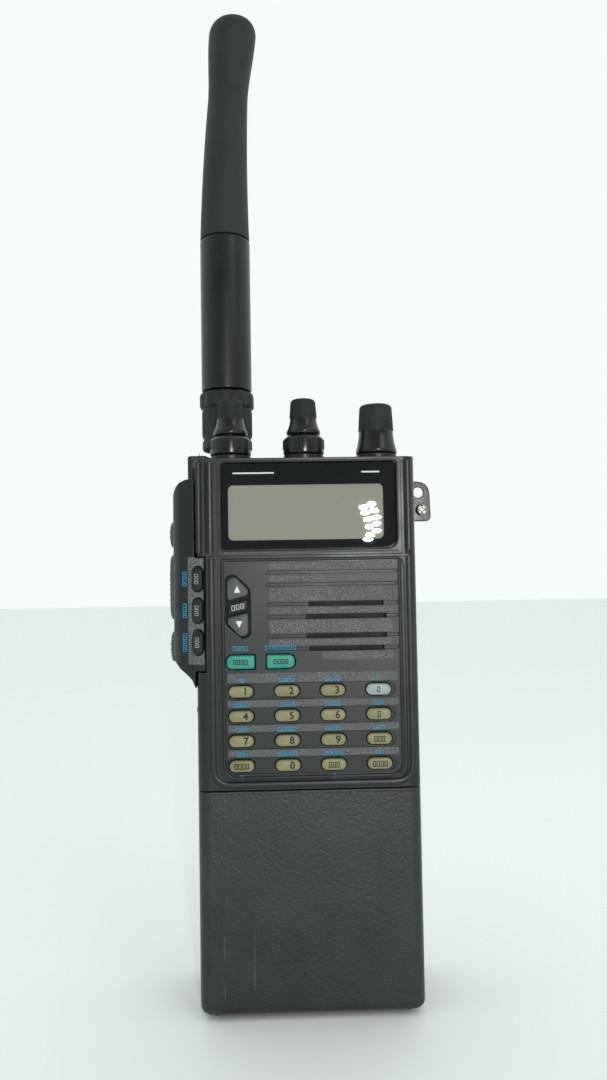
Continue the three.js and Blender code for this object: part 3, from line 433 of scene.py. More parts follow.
def shrunk(points, distance):
    result = []
    count = len(points)
    for index, point in enumerate(points):
        along = (points[(index + 1) % count] - points[index - 1]).normalized()
        result.append(point + Vector((-along.y, along.x)) * distance)
    return result


def meshOf(shape, name, material, smooth=35):
    bmesh.ops.scale(shape, vec=(mm, mm, mm), verts=shape.verts)
    data = bpy.data.meshes.new(name)
    shape.to_mesh(data)
    shape.free()
    for one in material if isinstance(material, (list, tuple)) else (material,):
        data.materials.append(one)
    data.shade_smooth()
    data.set_sharp_from_angle(angle=math.radians(smooth))
    thing = bpy.data.objects.new(name, data)
    bpy.context.scene.collection.objects.link(thing)
    return thing


# Rings of points joined one to the next, with both ends closed.
def skinned(rings, closeEnds=True):
    shape = bmesh.new()
    rows = [[shape.verts.new(point) for point in ring] for ring in rings]
    for lower, upper in zip(rows, rows[1:]):
        count = len(lower)
        for index in range(count):
            after = (index + 1) % count
            shape.faces.new((lower[index], lower[after], upper[after], upper[index]))
    if closeEnds:
        shape.faces.new(list(reversed(rows[0])))
        shape.faces.new(rows[-1])
    return shape


# A cap raised from an outline: levels are (inset, height), and the top is crowned towards its middle.
def raised(outline, levels, crown, where):
    centre = sum(outline, Vector((0, 0))) / len(outline)
    rings = [[(p.x, p.y, height) for p in shrunk(outline, inset)] for inset, height in levels]
    last = [Vector(point) for point in rings[-1]]
    top = levels[-1][1]
    for share in (0.75, 0.45, 0.15):
        lift = crown * (1 - share ** 2)
        rings.append([(centre.x + (p.x - centre.x) * share, centre.y + (p.y - centre.y) * share, top + lift)
                      for p in last])
    shape = skinned(rings)
    bmesh.ops.transform(shape, matrix=where, verts=shape.verts)
    return shape


def slab(outline, low, high, edge, where):
    levels = [(edge, low), (0, low + edge), (0, high - edge), (edge, high)]
    rings = [[(p.x, p.y, height) for p in shrunk(outline, inset)] for inset, height in levels]
    shape = skinned(rings)
    bmesh.ops.transform(shape, matrix=where, verts=shape.verts)
    return shape


# A profile of (radius, z) turned about a vertical axis; swell changes the radius by angle.
def turned(profile, x, y, steps=64, swell=None):
    rings = []
    for radius, z in profile:
        ring = []
        for step in range(steps):
            angle = 2 * math.pi * step / steps
            reach = max(radius, 0.02) * (swell(angle, z) if swell else 1)
            ring.append((x + reach * math.cos(angle), y + reach * math.sin(angle), z))
        rings.append(ring)
    return skinned(rings)


# A closed profile turned about an axis, without the end faces that a solid has.
def turnedRing(profile, x, y, steps, swell=None):
    shape = turned(profile + [profile[0]], x, y, steps, swell)
    bmesh.ops.remove_doubles(shape, verts=shape.verts, dist=1e-4)
    bmesh.ops.delete(shape, geom=[face for face in shape.faces if len(face.verts) > 4], context="FACES")
    bmesh.ops.recalc_face_normals(shape, faces=shape.faces)
    return shape


# A half round bead laid along points in a plane whose outward direction is given.
def bead(points, halfWidth, height, out, closed, sides=6):
    out = Vector(out)
    count = len(points)
    rings = []
    for index, point in enumerate(points):
        before = points[index - 1] if closed or index > 0 else point
        after = points[(index + 1) % count] if closed or index < count - 1 else point
        across = (Vector(after) - Vector(before)).normalized().cross(out)
        sunk = Vector(point) - out * 0.25
        ring = [sunk - across * halfWidth, sunk + across * halfWidth]
        for step in range(sides + 1):
            angle = math.pi * step / sides
            ring.append(Vector(point) + across * halfWidth * math.cos(angle) + out * height * math.sin(angle))
        rings.append(ring)
    if closed:
        rings.append(rings[0])
    shape = skinned(rings, not closed)
    bmesh.ops.remove_doubles(shape, verts=shape.verts, dist=1e-5)
    bmesh.ops.recalc_face_normals(shape, faces=shape.faces)
    return shape


def merged(shapes):
    total = bmesh.new()
    for shape in shapes:
        part = bpy.data.meshes.new("part")
        shape.to_mesh(part)
        shape.free()
        total.from_mesh(part)
        bpy.data.meshes.remove(part)
    return total


def settle(piece, body, slot, *stoodFor):
    even = piece.modifiers.new("evenNormals", "WEIGHTED_NORMAL")
    even.keep_sharp = True
    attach(piece, body)
    if stoodFor:
        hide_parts(*stoodFor)
    return piece


# A copy of a CAD piece with its edges rounded over.
def softened(node, material, width, segments=2):
    shape = bmesh.new()
    shape.from_mesh(nodes[node].data)
    bmesh.ops.remove_doubles(shape, verts=shape.verts, dist=1e-6)
    bmesh.ops.scale(shape, vec=(1 / mm, 1 / mm, 1 / mm), verts=shape.verts)
    piece = meshOf(shape, node + "_shell", material, 40)
    if "custom_normal" in piece.data.attributes:
        piece.data.attributes.remove(piece.data.attributes["custom_normal"])
    if width == 0:
        for face in piece.data.polygons:
            face.use_smooth = max(abs(number) for number in face.normal) < 0.9999
        return settle(piece, bodyOf[node], slotOf[node], node)
    rounding = piece.modifiers.new("rounding", "BEVEL")
    rounding.width = width * mm
    rounding.segments = segments
    rounding.limit_method = "ANGLE"
    rounding.angle_limit = math.radians(32)
    rounding.use_clamp_overlap = False
    return settle(piece, bodyOf[node], slotOf[node], node)


# geometry node trees for what repeats

def newTree(name, sockets):
    tree = bpy.data.node_groups.new(name, "GeometryNodeTree")
    for label, kind, value in sockets:
        socket = tree.interface.new_socket(label, in_out="INPUT", socket_type=kind)
        if value is not None:
            socket.default_value = value
    tree.interface.new_socket("Geometry", in_out="OUTPUT", socket_type="NodeSocketGeometry")
    return tree, addNode(tree, "NodeGroupInput").outputs


def vectorMath(tree, operation, *values):
    node = addNode(tree, "ShaderNodeVectorMath", operation=operation)
    for socket, value in zip(node.inputs, values):
        if operation == "SCALE" and value is values[1]:
            socket = node.inputs["Scale"]
        wire(tree, value, socket)
    return node.outputs[0]


def finishTree(tree, ports, instances):
    realize = addNode(tree, "GeometryNodeRealizeInstances")
    wire(tree, instances, realize.inputs[0])
    paint = addNode(tree, "GeometryNodeSetMaterial")
    wire(tree, realize.outputs[0], paint.inputs["Geometry"])
    wire(tree, ports["Finish"], paint.inputs["Material"])
    wire(tree, paint.outputs[0], addNode(tree, "NodeGroupOutput").inputs[0])
    return tree


def barNode(tree, ports):
    line = addNode(tree, "GeometryNodeCurvePrimitiveLine")
    wire(tree, ports["Start"], line.inputs["Start"])
    wire(tree, ports["End"], line.inputs["End"])
    circle = addNode(tree, "GeometryNodeCurvePrimitiveCircle")
    wire(tree, ports["Sides"], circle.inputs["Resolution"])
    wire(tree, ports["Thickness"], circle.inputs["Radius"])
    bar = addNode(tree, "GeometryNodeCurveToMesh")
    bar.inputs["Fill Caps"].default_value = True
    wire(tree, line.outputs[0], bar.inputs["Curve"])
    wire(tree, circle.outputs[0], bar.inputs["Profile Curve"])
    return bar.outputs[0]


barSockets = [("Start", "NodeSocketVector", None), ("End", "NodeSocketVector", None),
              ("Thickness", "NodeSocketFloat", 0.0005), ("Sides", "NodeSocketInt", 6),
              ("Finish", "NodeSocketMaterial", None)]


# Bars set round a vertical axis, as the ribs of a knob are.
def makeSpunBars():
    tree, ports = newTree("spunBars", [("Count", "NodeSocketInt", 24), ("Centre", "NodeSocketVector", None)]
                          + barSockets)
    points = addNode(tree, "GeometryNodeMeshLine")
    wire(tree, ports["Count"], points.inputs["Count"])
    wire(tree, ports["Centre"], points.inputs["Start Location"])
    points.inputs["Offset"].default_value = (0, 0, 0)
    index = addNode(tree, "GeometryNodeInputIndex").outputs[0]
    angle = combine(tree, "MULTIPLY", combine(tree, "DIVIDE", index, ports["Count"]), 2 * math.pi)
    turn = addNode(tree, "ShaderNodeCombineXYZ")
    wire(tree, angle, turn.inputs["Z"])
    copies = addNode(tree, "GeometryNodeInstanceOnPoints")
    wire(tree, points.outputs[0], copies.inputs["Points"])
    wire(tree, barNode(tree, ports), copies.inputs["Instance"])
    wire(tree, turn.outputs[0], copies.inputs["Rotation"])
    return finishTree(tree, ports, copies.outputs[0])


gridSockets = [("Columns", "NodeSocketInt", 1), ("Rows", "NodeSocketInt", 1),
               ("First", "NodeSocketVector", None), ("Column Step", "NodeSocketVector", None),
               ("Row Step", "NodeSocketVector", None)]


def gridPoints(tree, ports):
    points = addNode(tree, "GeometryNodeMeshLine")
    wire(tree, combine(tree, "MULTIPLY", ports["Columns"], ports["Rows"]), points.inputs["Count"])
    points.inputs["Offset"].default_value = (0, 0, 0)
    index = addNode(tree, "GeometryNodeInputIndex").outputs[0]
    column = combine(tree, "MODULO", index, ports["Columns"])
    row = combine(tree, "FLOOR", combine(tree, "DIVIDE", index, ports["Columns"]), 0)
    step = vectorMath(tree, "ADD", vectorMath(tree, "SCALE", ports["Column Step"], column),
                      vectorMath(tree, "SCALE", ports["Row Step"], row))
    spot = addNode(tree, "GeometryNodeSetPosition")
    wire(tree, points.outputs[0], spot.inputs["Geometry"])
    wire(tree, vectorMath(tree, "ADD", step, ports["First"]), spot.inputs["Offset"])
    return spot.outputs[0]


# Bars in rows and columns: feet, grip ribs, screw heads.
def makeGriddedBars():
    tree, ports = newTree("griddedBars", gridSockets + barSockets)
    copies = addNode(tree, "GeometryNodeInstanceOnPoints")
    wire(tree, gridPoints(tree, ports), copies.inputs["Points"])
    wire(tree, barNode(tree, ports), copies.inputs["Instance"])
    return finishTree(tree, ports, copies.outputs[0])


# Small open boxes in a row, which stand for printed legends.
def makePrintedMarks():
    tree, ports = newTree("printedMarks", gridSockets + [
        ("Mark Width", "NodeSocketFloat", 0.0007), ("Mark Height", "NodeSocketFloat", 0.0011),
        ("Stroke", "NodeSocketFloat", 0.0001), ("Turn", "NodeSocketVector", None),
        ("Finish", "NodeSocketMaterial", None)])
    outline = addNode(tree, "GeometryNodeCurvePrimitiveQuadrilateral")
    wire(tree, ports["Mark Width"], outline.inputs["Width"])
    wire(tree, ports["Mark Height"], outline.inputs["Height"])
    nib = addNode(tree, "GeometryNodeCurvePrimitiveCircle")
    nib.inputs["Resolution"].default_value = 4
    wire(tree, ports["Stroke"], nib.inputs["Radius"])
    mark = addNode(tree, "GeometryNodeCurveToMesh")
    wire(tree, outline.outputs[0], mark.inputs["Curve"])
    wire(tree, nib.outputs[0], mark.inputs["Profile Curve"])
    copies = addNode(tree, "GeometryNodeInstanceOnPoints")
    wire(tree, gridPoints(tree, ports), copies.inputs["Points"])
    wire(tree, mark.outputs[0], copies.inputs["Instance"])
    wire(tree, ports["Turn"], copies.inputs["Rotation"])
    return finishTree(tree, ports, copies.outputs[0])


spunBars = makeSpunBars()
griddedBars = makeGriddedBars()
printedMarks = makePrintedMarks()


# Runs a tree with its inputs and returns the plain mesh that it makes.
def grownMesh(tree, inputs):
    host = bpy.data.objects.new("host", bpy.data.meshes.new("host"))
    bpy.context.scene.collection.objects.link(host)
    modifier = host.modifiers.new("grow", "NODES")
    modifier.node_group = tree
    identifiers = {item.name: item.identifier for item in tree.interface.items_tree if item.in_out == "INPUT"}
    for name, value in inputs.items():
        if isinstance(value, (tuple, Vector)):
            value = [number * (1 if name == "Turn" else mm) for number in value]
        elif isinstance(value, float):
            value = value * mm
        modifier[identifiers[name]] = value
    seen = host.evaluated_get(bpy.context.evaluated_depsgraph_get())
    data = bpy.data.meshes.new_from_object(seen)
    host.modifiers.remove(modifier)
    bpy.data.objects.remove(host)
    return data


def grown(name, tree, body, slot, material, inputs):
    total = bmesh.new()
    for one in inputs if isinstance(inputs, list) else [inputs]:
        part = grownMesh(tree, {**one, "Finish": material})
        total.from_mesh(part)
        bpy.data.meshes.remove(part)
    bmesh.ops.scale(total, vec=(1 / mm, 1 / mm, 1 / mm), verts=total.verts)
    bmesh.ops.recalc_face_normals(total, faces=total.faces)
    return settle(meshOf(total, name, material), body, slot)


# The inputs that place a tree's copies in columns and rows.
def gridOf(first, columns=1, columnStep=(0, 0, 0), rows=1, rowStep=(0, 0, 0)):
    return {"Columns": columns, "Rows": rows, "First": first, "Column Step": columnStep,
            "Row Step": rowStep}


print("helpers and node trees ready")


# battery pack

batteryValues = {"corner": 3.2, "bottomRound": 2.4, "wall": 1.6, "footRadius": 0.6, "skinLeft": 2.9,
                 "skinRight": 2.7, "skinLow": 2.7, "skinHigh": 0.7, "skinProud": 0.13, "ribCount": 9,
                 "ribPitch": 2.6, "ribHalf": 17, "ribLow": 9, "ribThickness": 0.55, "footInset": 4.1,
                 "label": (-17, 17, 36, 51)}


def makeBattery():
    values = batteryValues
    low, high = boxOf("battery_case")
    x1, y1, z1 = high.x, high.y, high.z
    rings = []
    for step in range(7):
        angle = math.pi / 2 * step / 6
        inset = values["bottomRound"] * (1 - math.sin(angle))
        z = values["bottomRound"] * (1 - math.cos(angle))
        plan = rectangle(inset - x1, x1 - inset, inset - y1, y1 - inset, values["corner"] - inset * 0.8, 8)
        rings.append([(p.x, p.y, z) for p in plan])
    wall = values["wall"]
    for inset, z in ((0, z1 - 0.3), (0.3, z1), (wall, z1), (wall, wall)):
        plan = rectangle(inset - x1, x1 - inset, inset - y1, y1 - inset, values["corner"] - inset * 0.8, 8)
        rings.append([(p.x, p.y, z) for p in plan])
    shell = meshOf(skinned(rings), "battery_shell", finish["grainCase"], 50)
    settle(shell, "battery", "case_grain", "battery_case")
    skin = rectangle(-x1 + values["skinLeft"], x1 - values["skinRight"], values["skinLow"],
                     z1 - values["skinHigh"], 0.8, 4)
    proud = values["skinProud"]
    plate = slab(skin, -0.3, proud, 0.12, facingFront(0, -y1, 0))
    settle(meshOf(plate, "battery_front_skin", finish["grainCase"], 30), "battery", "case_grain")
    footX, footY = x1 - values["footInset"], y1 - values["footInset"]
    grown("battery_feet", griddedBars, "battery", "case_plastic", finish["smoothCase"], {
        **gridOf((-footX, -footY, 0), 2, (2 * footX, 0, 0), 2, (0, 2 * footY, 0)),
        "Start": (0, 0, low.z), "End": (0, 0, 0.4),
        "Thickness": values["footRadius"], "Sides": 16})
    grown("battery_grip_ribs", griddedBars, "battery", "case_grain", finish["grainCase"], {
        **gridOf((0, y1, values["ribLow"]), rows=values["ribCount"], rowStep=(0, 0, values["ribPitch"])),
        "Start": (-values["ribHalf"], 0, 0), "End": (values["ribHalf"], 0, 0),
        "Thickness": values["ribThickness"], "Sides": 12})
    label = slab(rectangle(*values["label"], 1.2), -0.2, 0.12, 0.08, facingBack(0, y1, 0))
    settle(meshOf(label, "battery_label", finish["smoothCase"]), "battery", "case_plastic")


makeBattery()
softened("battery_lid", finish["smoothCase"], 0.15)
softened("battery_latch", finish["keyGrey"], 0.25)
softened("base_plate", finish["smoothCase"], 0.12)
print("battery pack made")


# front and rear cases with their ridges and beads

caseValues = {"rearEdge": 0.4, "frameLeft": -24.9, "frameRight": 26.9, "frameLow": 58.35,
              "rimLeft": -21.9, "rimRight": 24.3,
              "rimLow": 60.2, "rimHalf": 0.42, "rimHeight": 0.36, "ledgeDrop": 25.6,
              "bars": [(-25.1, 0.95), (-28.0, 0.75), (27.0, 0.95)]}


def arcPoints(corners, y):
    return [(p.x, y, p.y) for p in bezierCorners(corners, 8)]


def makeCases():
    values = caseValues
    softened("front_case", finish["smoothCase"], 0)
    softened("rear_case", finish["grainCase"], values["rearEdge"], 3)
    low, high = boxOf("front_case")
    front = low.y
    window = boxOf("display_window")
    ledgeZ = high.z - values["ledgeDrop"]
    # ridge beside the keys, up both sides and round below, then the inner rim
    frame = [(values["frameLeft"], ledgeZ - 0.7, 0), (values["frameLeft"], values["frameLow"], 5),
             (values["frameRight"], values["frameLow"], 5), (values["frameRight"], ledgeZ - 0.7, 0)]
    rim = [(values["rimLeft"], ledgeZ - 1.1, 0.8), (values["rimLeft"], values["rimLow"], 3.6),
           (values["rimRight"], values["rimLow"], 3.6), (values["rimRight"], ledgeZ - 1.1, 0.8)]
    for name, corners, half, height, closed in (
            ("front_frame_ridge", frame, 0.85, 0.35, False),
            ("key_panel_rim", rim, values["rimHalf"], values["rimHeight"], True)):
        piece = bead(arcPoints(corners, front), half, height, (0, -1, 0), closed)
        settle(meshOf(piece, name, finish["smoothCase"], 50), "radio", "case_plastic")
    bars = []
    for x, half in values["bars"]:
        ends = [(x, front, ledgeZ + 0.8), (x, front, high.z - 1.0)]
        bars.append(bead(ends, half, 0.5, (0, -1, 0), False))
    settle(meshOf(merged(bars), "display_side_bars", finish["smoothCase"], 50), "radio", "case_plastic")
    glass = [(window[0].x - 0.5, window[0].z - 0.5, 1.6), (window[1].x + 0.5, window[0].z - 0.5, 3.2),
             (window[1].x + 0.5, window[1].z + 0.5, 1.2), (window[0].x - 0.5, window[1].z + 0.5, 1.2)]
    piece = bead(arcPoints(glass, front), 0.28, 0.3, (0, -1, 0), True)
    settle(meshOf(piece, "window_rim", finish["smoothCase"], 50), "radio", "case_plastic")
    ledge = slab(rectangle(-21.6, 24.4, ledgeZ + 0.5, window[0].z - 0.9, 0.5, 3), -0.3, 0.1, 0.06,
                 facingFront(0, front, 0))
    settle(meshOf(ledge, "display_ledge", finish["panelGrain"]), "radio", "case_plastic")


makeCases()
softened("top_panel", finish["smoothCase"], 0.2)
print("cases made")


# display window: black glass, with the panel's colour laid into the glass inside the panel's outline

windowValues = {"corner": 1.3, "markRise": 3.2, "marks": [(-13.5, 5.4), (17.2, 2.4)]}


def makeWindow():
    values = windowValues
    low, high = boxOf("display_window")
    material = finish["glossWindow"].copy()
    material.name = "windowGlass"
    tree = material.node_tree
    shader = tree.nodes["Principled BSDF"]
    place = addNode(tree, "ShaderNodeTexCoord").outputs["Object"]
    panel = boxOf("lcd_panel")
    x0, x1 = panel[0].x + 0.1, panel[1].x - 0.1
    z0, z1 = panel[0].z + 0.1, panel[1].z - 0.1
    parts = addNode(tree, "ShaderNodeSeparateXYZ")
    wire(tree, place, parts.inputs[0])
    radius = values["corner"] * mm
    away = []
    for axis, first, last in (("X", x0, x1), ("Z", z0, z1)):
        middle, half = (first + last) / 2 * mm, (last - first) / 2 * mm
        distance = combine(tree, "ABSOLUTE", combine(tree, "SUBTRACT", parts.outputs[axis], middle), 0)
        away.append(combine(tree, "MAXIMUM", combine(tree, "SUBTRACT", distance, half - radius), 0))
    corner = combine(tree, "SQRT", combine(tree, "ADD", combine(tree, "POWER", away[0], 2),
                                           combine(tree, "POWER", away[1], 2)), 0)
    mask = spread(tree, corner, radius + 0.05 * mm, radius - 0.05 * mm)
    mottle = spread(tree, noiseNode(tree, place, 30, 3.0), 0.3, 0.7)
    shade = blendColors(tree, mottle, finishes["displayGlass"]["dark"], finishes["displayGlass"]["light"])
    before = shader.inputs["Base Color"].links[0].from_socket
    wire(tree, blendColors(tree, mask, before, shade), shader.inputs["Base Color"])
    outline = bezierCorners([(low.x, low.z, 1.2), (high.x, low.z, 2.8), (high.x, high.z, 1.0),
                             (low.x, high.z, 1.0)], 8)
    pane = slab(outline, low.y - high.y, 0, 0.12, facingFront(0, low.y, 0))
    settle(meshOf(pane, "window_pane", material), "radio", "trim_gloss", "display_window")
    markZ = z1 + values["markRise"]
    marks = [{**gridOf((x, low.y - 0.02, markZ)), "Start": (-half, 0, 0), "End": (half, 0, 0),
              "Thickness": 0.22, "Sides": 8} for x, half in values["marks"]]
    grown("window_marks", griddedBars, "radio", "trim_gloss", finish["printWhite"], marks)


makeWindow()
print("window made")


# keys and buttons

keyValues = {"padWidth": 6.4, "padHeight": 2.9, "edge": 0.34, "crown": 0.14, "digitSize": 2.6,
             "digitShift": 1.15, "markWidth": 0.62, "markPitch": 1.0, "scanWidth": 7.3, "scanHeight": 3.5}
padOrder = ["key_1", "key_2", "key_3", "key_function", "key_4", "key_5", "key_6", "key_memory",
            "key_7", "key_8", "key_9", "key_enter", "key_dual", "key_0", "key_reverse", "key_tone"]
padMarks = {"key_function": 1, "key_memory": 1, "key_enter": 3, "key_dual": 4, "key_reverse": 3,
            "key_tone": 4}
slotFinish = {"key_cream": "keyCream", "key_pale": "keyPale", "key_grey": "keyGrey",
              "case_plastic": "smoothCase"}


def textMesh(text, size, where):
    curve = bpy.data.curves.new("digit", "FONT")
    curve.body = text
    curve.size = size
    curve.align_x = "CENTER"
    curve.align_y = "CENTER"
    curve.extrude = 0.03
    curve.offset = 0.06
    curve.resolution_u = 3
    thing = bpy.data.objects.new("digit", curve)
    bpy.context.scene.collection.objects.link(thing)
    data = bpy.data.meshes.new_from_object(thing.evaluated_get(bpy.context.evaluated_depsgraph_get()))
    bpy.data.objects.remove(thing)
    shape = bmesh.new()
    shape.from_mesh(data)
    bmesh.ops.transform(shape, matrix=where, verts=shape.verts)
    return shape


def capLevels(depth, proud, edge):
    return [(0, -depth), (0, proud - edge), (edge * 0.3, proud - edge * 0.3), (edge, proud)]


def makePadKeys():
    values = keyValues
    front = boxOf("front_case")[0].y
    for name in padOrder:
        low, high = boxOf(name)
        middle = (low + high) / 2
        where = facingFront(middle.x, front, middle.z)
        proud = front - low.y
        outline = pill(values["padWidth"], values["padHeight"])
        cap = raised(outline, capLevels(high.y - front, proud, values["edge"]), values["crown"], where)
        settle(meshOf(cap, name + "_cap", finish[slotFinish[slotOf[name]]], 60), bodyOf[name],
               slotOf[name], name)
        top = low.y - values["crown"] + 0.01
        if name in padMarks:
            count = padMarks[name]
            first = middle.x - (count - 1) * values["markPitch"] / 2
            grown(name + "_marks", printedMarks, bodyOf[name], slotOf[name], finish["printDark"], {
                **gridOf((first, top, middle.z), count, (values["markPitch"], 0, 0)),
                "Mark Width": values["markWidth"], "Mark Height": 1.3, "Stroke": 0.14,
                "Turn": (math.pi / 2, 0, 0)})
        else:
            spot = facingFront(middle.x + values["digitShift"], top, middle.z)
            digit = textMesh(name[-1], values["digitSize"], spot)
            settle(meshOf(digit, name + "_digit", finish["printDark"]), bodyOf[name], slotOf[name])


scanShapes = {"key_mhz": -1, "key_scan": 1}


def makeScanKeys():
    front = boxOf("front_case")[0].y
    for name, roundEnd in scanShapes.items():
        low, high = boxOf(name)
        middle = (low + high) / 2
        x, z = keyValues["scanWidth"] / 2, keyValues["scanHeight"] / 2
        left, right = (z, 0.5) if roundEnd < 0 else (0.5, z)
        outline = bezierCorners([(-x, -z, left), (x, -z, right), (x, z, right), (-x, z, left)])
        cap = raised(outline, capLevels(high.y - front, front - low.y, 0.3), 0.1,
                     facingFront(middle.x, front, middle.z))
        settle(meshOf(cap, name + "_cap", finish["keyGreen"], 60), name, "key_green", name)
        grown(name + "_marks", printedMarks, name, "key_green", finish["printDark"], {
            **gridOf((middle.x - 1.5, low.y - 0.1, middle.z), 4, (1.0, 0, 0)),
            "Mark Width": 0.6, "Mark Height": 1.1, "Stroke": 0.13, "Turn": (math.pi / 2, 0, 0)})


stepShapes = {
    "key_up": [(-2.7, 7.3), (-2.7, 1.6), (2.6, 3), (2.8, 4.3), (-0.6, 8)],
    "key_sub": [(-2.6, 0.9), (-2.6, -2), (2.6, -0.9), (2.6, 2)],
    "key_down": [(2.7, -7.1), (2.7, -1.4), (-2.6, -2.8), (-2.8, -4.1), (0.6, -7.8)],
}
stepArrows = {"key_up": [(-0.95, 3.7), (0.75, 3.7), (-0.1, 5.6)],
              "key_down": [(-0.55, -3.6), (0.35, -5.5), (1.2, -3.6)]}


def makeStepKeys():
    front = boxOf("front_case")[0].y
    up, down = boxOf("key_up"), boxOf("key_down")
    centreX = (up[0].x + up[1].x) / 2 - 0.05
    centreZ = (up[1].z + down[0].z) / 2 - 0.1
    for name, corners in stepShapes.items():
        low, high = boxOf(name)
        reach = 0.6 if name == "key_sub" else 1.3
        outline = bezierCorners([(x, z, reach) for x, z in corners])
        cap = raised(outline, capLevels(high.y - front, front - low.y, 0.32), 0.25,
                     facingFront(centreX, front, centreZ))
        settle(meshOf(cap, name + "_cap", finish[slotFinish[slotOf[name]]], 60), name, slotOf[name], name)
        if name in stepArrows:
            arrow = slab(bezierCorners([(x, z, 0.15) for x, z in stepArrows[name]], 2), 0, 0.05, 0.01,
                         facingFront(centreX, low.y - 0.22, centreZ))
            bmesh.ops.recalc_face_normals(arrow, faces=arrow.faces)
            settle(meshOf(arrow, name + "_arrow", finish["printWhite"]), name, slotOf[name])
    top = boxOf("key_sub")[0].y - 0.25
    grown("key_sub_marks", printedMarks, "key_sub", "case_plastic", finish["printWhite"], {
        **gridOf((centreX - 1.15, top, centreZ - 0.25), 3, (1.15, 0, 0.24)),
        "Mark Width": 0.7, "Mark Height": 1.2, "Stroke": 0.13, "Turn": (math.pi / 2, 0, 0)})
    well = bezierCorners([(-3.2, 8, 1), (-3.3, -4.4, 1), (1, -8.4, 1), (3.3, -7.6, 1), (3.3, 4.6, 1),
                          (-1, 8.6, 1)])
    floor = slab(well, -2.6, -1.4, 0.1, facingFront(centreX, front, centreZ))
    bmesh.ops.recalc_face_normals(floor, faces=floor.faces)
    settle(meshOf(floor, "step_key_well", finish["deepBlack"]), "radio", "case_plastic")


makePadKeys()
makeScanKeys()
makeStepKeys()
print("front keys made")


# printed legends on the key panel: a row of marks over each key

legendValues = {"rise": 2.9, "greenRise": 3.5, "drop": 2.95, "markWidth": 0.62, "markHeight": 1.05,
                "stroke": 0.13, "pitch": 1.02}
legendCounts = {"key_1": 2, "key_2": 4, "key_3": 4, "key_function": 1, "key_4": 4, "key_5": 4, "key_6": 4,
                "key_memory": 3, "key_7": 3, "key_8": 5, "key_9": 4, "key_enter": 3, "key_dual": 3,
                "key_0": 5, "key_reverse": 5, "key_tone": 2, "key_mhz": 4, "key_scan": 8}


def legendRow(x, y, z, count):
    values = legendValues
    stride = Vector((values["pitch"], 0, 0))
    first = Vector((x, y, z)) - stride * (count - 1) / 2
    return {**gridOf(first, count, stride), "Mark Width": values["markWidth"],
            "Mark Height": values["markHeight"], "Stroke": values["stroke"], "Turn": (math.pi / 2, 0, 0)}


def makeLegends():
    y = boxOf("front_case")[0].y - 0.02
    rows = []
    for name, count in legendCounts.items():
        middle = middleOf(name)
        rise = legendValues["greenRise" if name in scanShapes else "rise"]
        rows.append(legendRow(middle.x, y, middle.z + rise, count))
    for name in ("key_dual", "key_reverse"):
        middle = middleOf(name)
        rows.append(legendRow(middle.x, y, middle.z - legendValues["drop"], 1))
    grown("panel_legends", printedMarks, "radio", "case_plastic", finish["printBlue"], rows)


makeLegends()


# raised strips between the key rows and the textured speaker face, with a cloth behind the slots

panelValues = {"left": -21.0, "right": 23.4, "half": 0.95, "proud": 0.024, "edge": 0.014}
grilleValues = {"left": -10.0, "lastLeft": 3.5, "right": 22.4,
                "rises": [17.6, 13.7, 10.5, 5.4, 2.1, -2.9, -6.2, -9.6]}


def makePanelStrips():
    values = panelValues
    front = boxOf("front_case")[0].y
    strips = []
    for upper, lower in (("key_1", "key_4"), ("key_4", "key_7"), ("key_7", "key_dual")):
        z = (middleOf(upper).z + middleOf(lower).z) / 2
        outline = rectangle(values["left"], values["right"], z - values["half"], z + values["half"], 0.4, 3)
        strips.append(slab(outline, -0.2, values["proud"], values["edge"], facingFront(0, front, 0)))
    top = middleOf("key_1").z + 2.15
    outline = rectangle(values["left"], values["right"], top, top + 2.6, 0.4, 3)
    strips.append(slab(outline, -0.2, 0.03, 0.02, facingFront(0, front, 0)))
    settle(meshOf(merged(strips), "key_row_strips", finish["panelGrain"]), "radio", "case_plastic")


def makeGrille():
    front = boxOf("front_case")[0].y
    speaker = middleOf("speaker")
    values = grilleValues
    rises = values["rises"]
    bands = []
    for index, (upper, lower) in enumerate(zip(rises, rises[1:])):
        z0 = speaker.z + lower + (0.75 if lower > -9 else 0.4)
        z1 = speaker.z + upper - (0.75 if upper < 17 else 1.2)
        left = values["left" if index < len(rises) - 2 else "lastLeft"]
        outline = rectangle(left, values["right"], z0, z1, 0.3, 3)
        bands.append(slab(outline, -0.2, 0.04, 0.03, facingFront(0, front, 0)))
    settle(meshOf(merged(bands), "grille_bands", finish["panelGrain"]), "radio", "case_plastic")
    cloth = slab(rectangle(-2.5, 23, speaker.z - 10, speaker.z + 10, 2), -2.12, -2.02, 0.03,
                 facingFront(0, front, 0))
    settle(meshOf(cloth, "speaker_cloth", finish["deepBlack"]), "radio", "rubber")


makePanelStrips()
makeGrille()
print("legends, strips and grille made")


# side housing, its sloping strip and the buttons on it

bevelValues = {"slope": 21, "stripLeft": -31.1, "stripRight": -26.8, "stripLow": 89.4, "stripHigh": 117.4,
               "stripDark": (0.06, 0.07, 0.07), "stripLight": (0.16, 0.18, 0.18), "keyWidth": 2.8,
               "keyHeight": 6.3, "legendLeft": 3.6}
sideShapes = {"lamp_button": (6, 7.2), "ptt_button": (8, 18), "monitor_button": (6, 8.4)}


def bevelPlane(x, y, z):
    slope = math.radians(bevelValues["slope"])
    return plane((x, y, z), (math.cos(slope), -math.sin(slope), 0), (0, 0, 1))


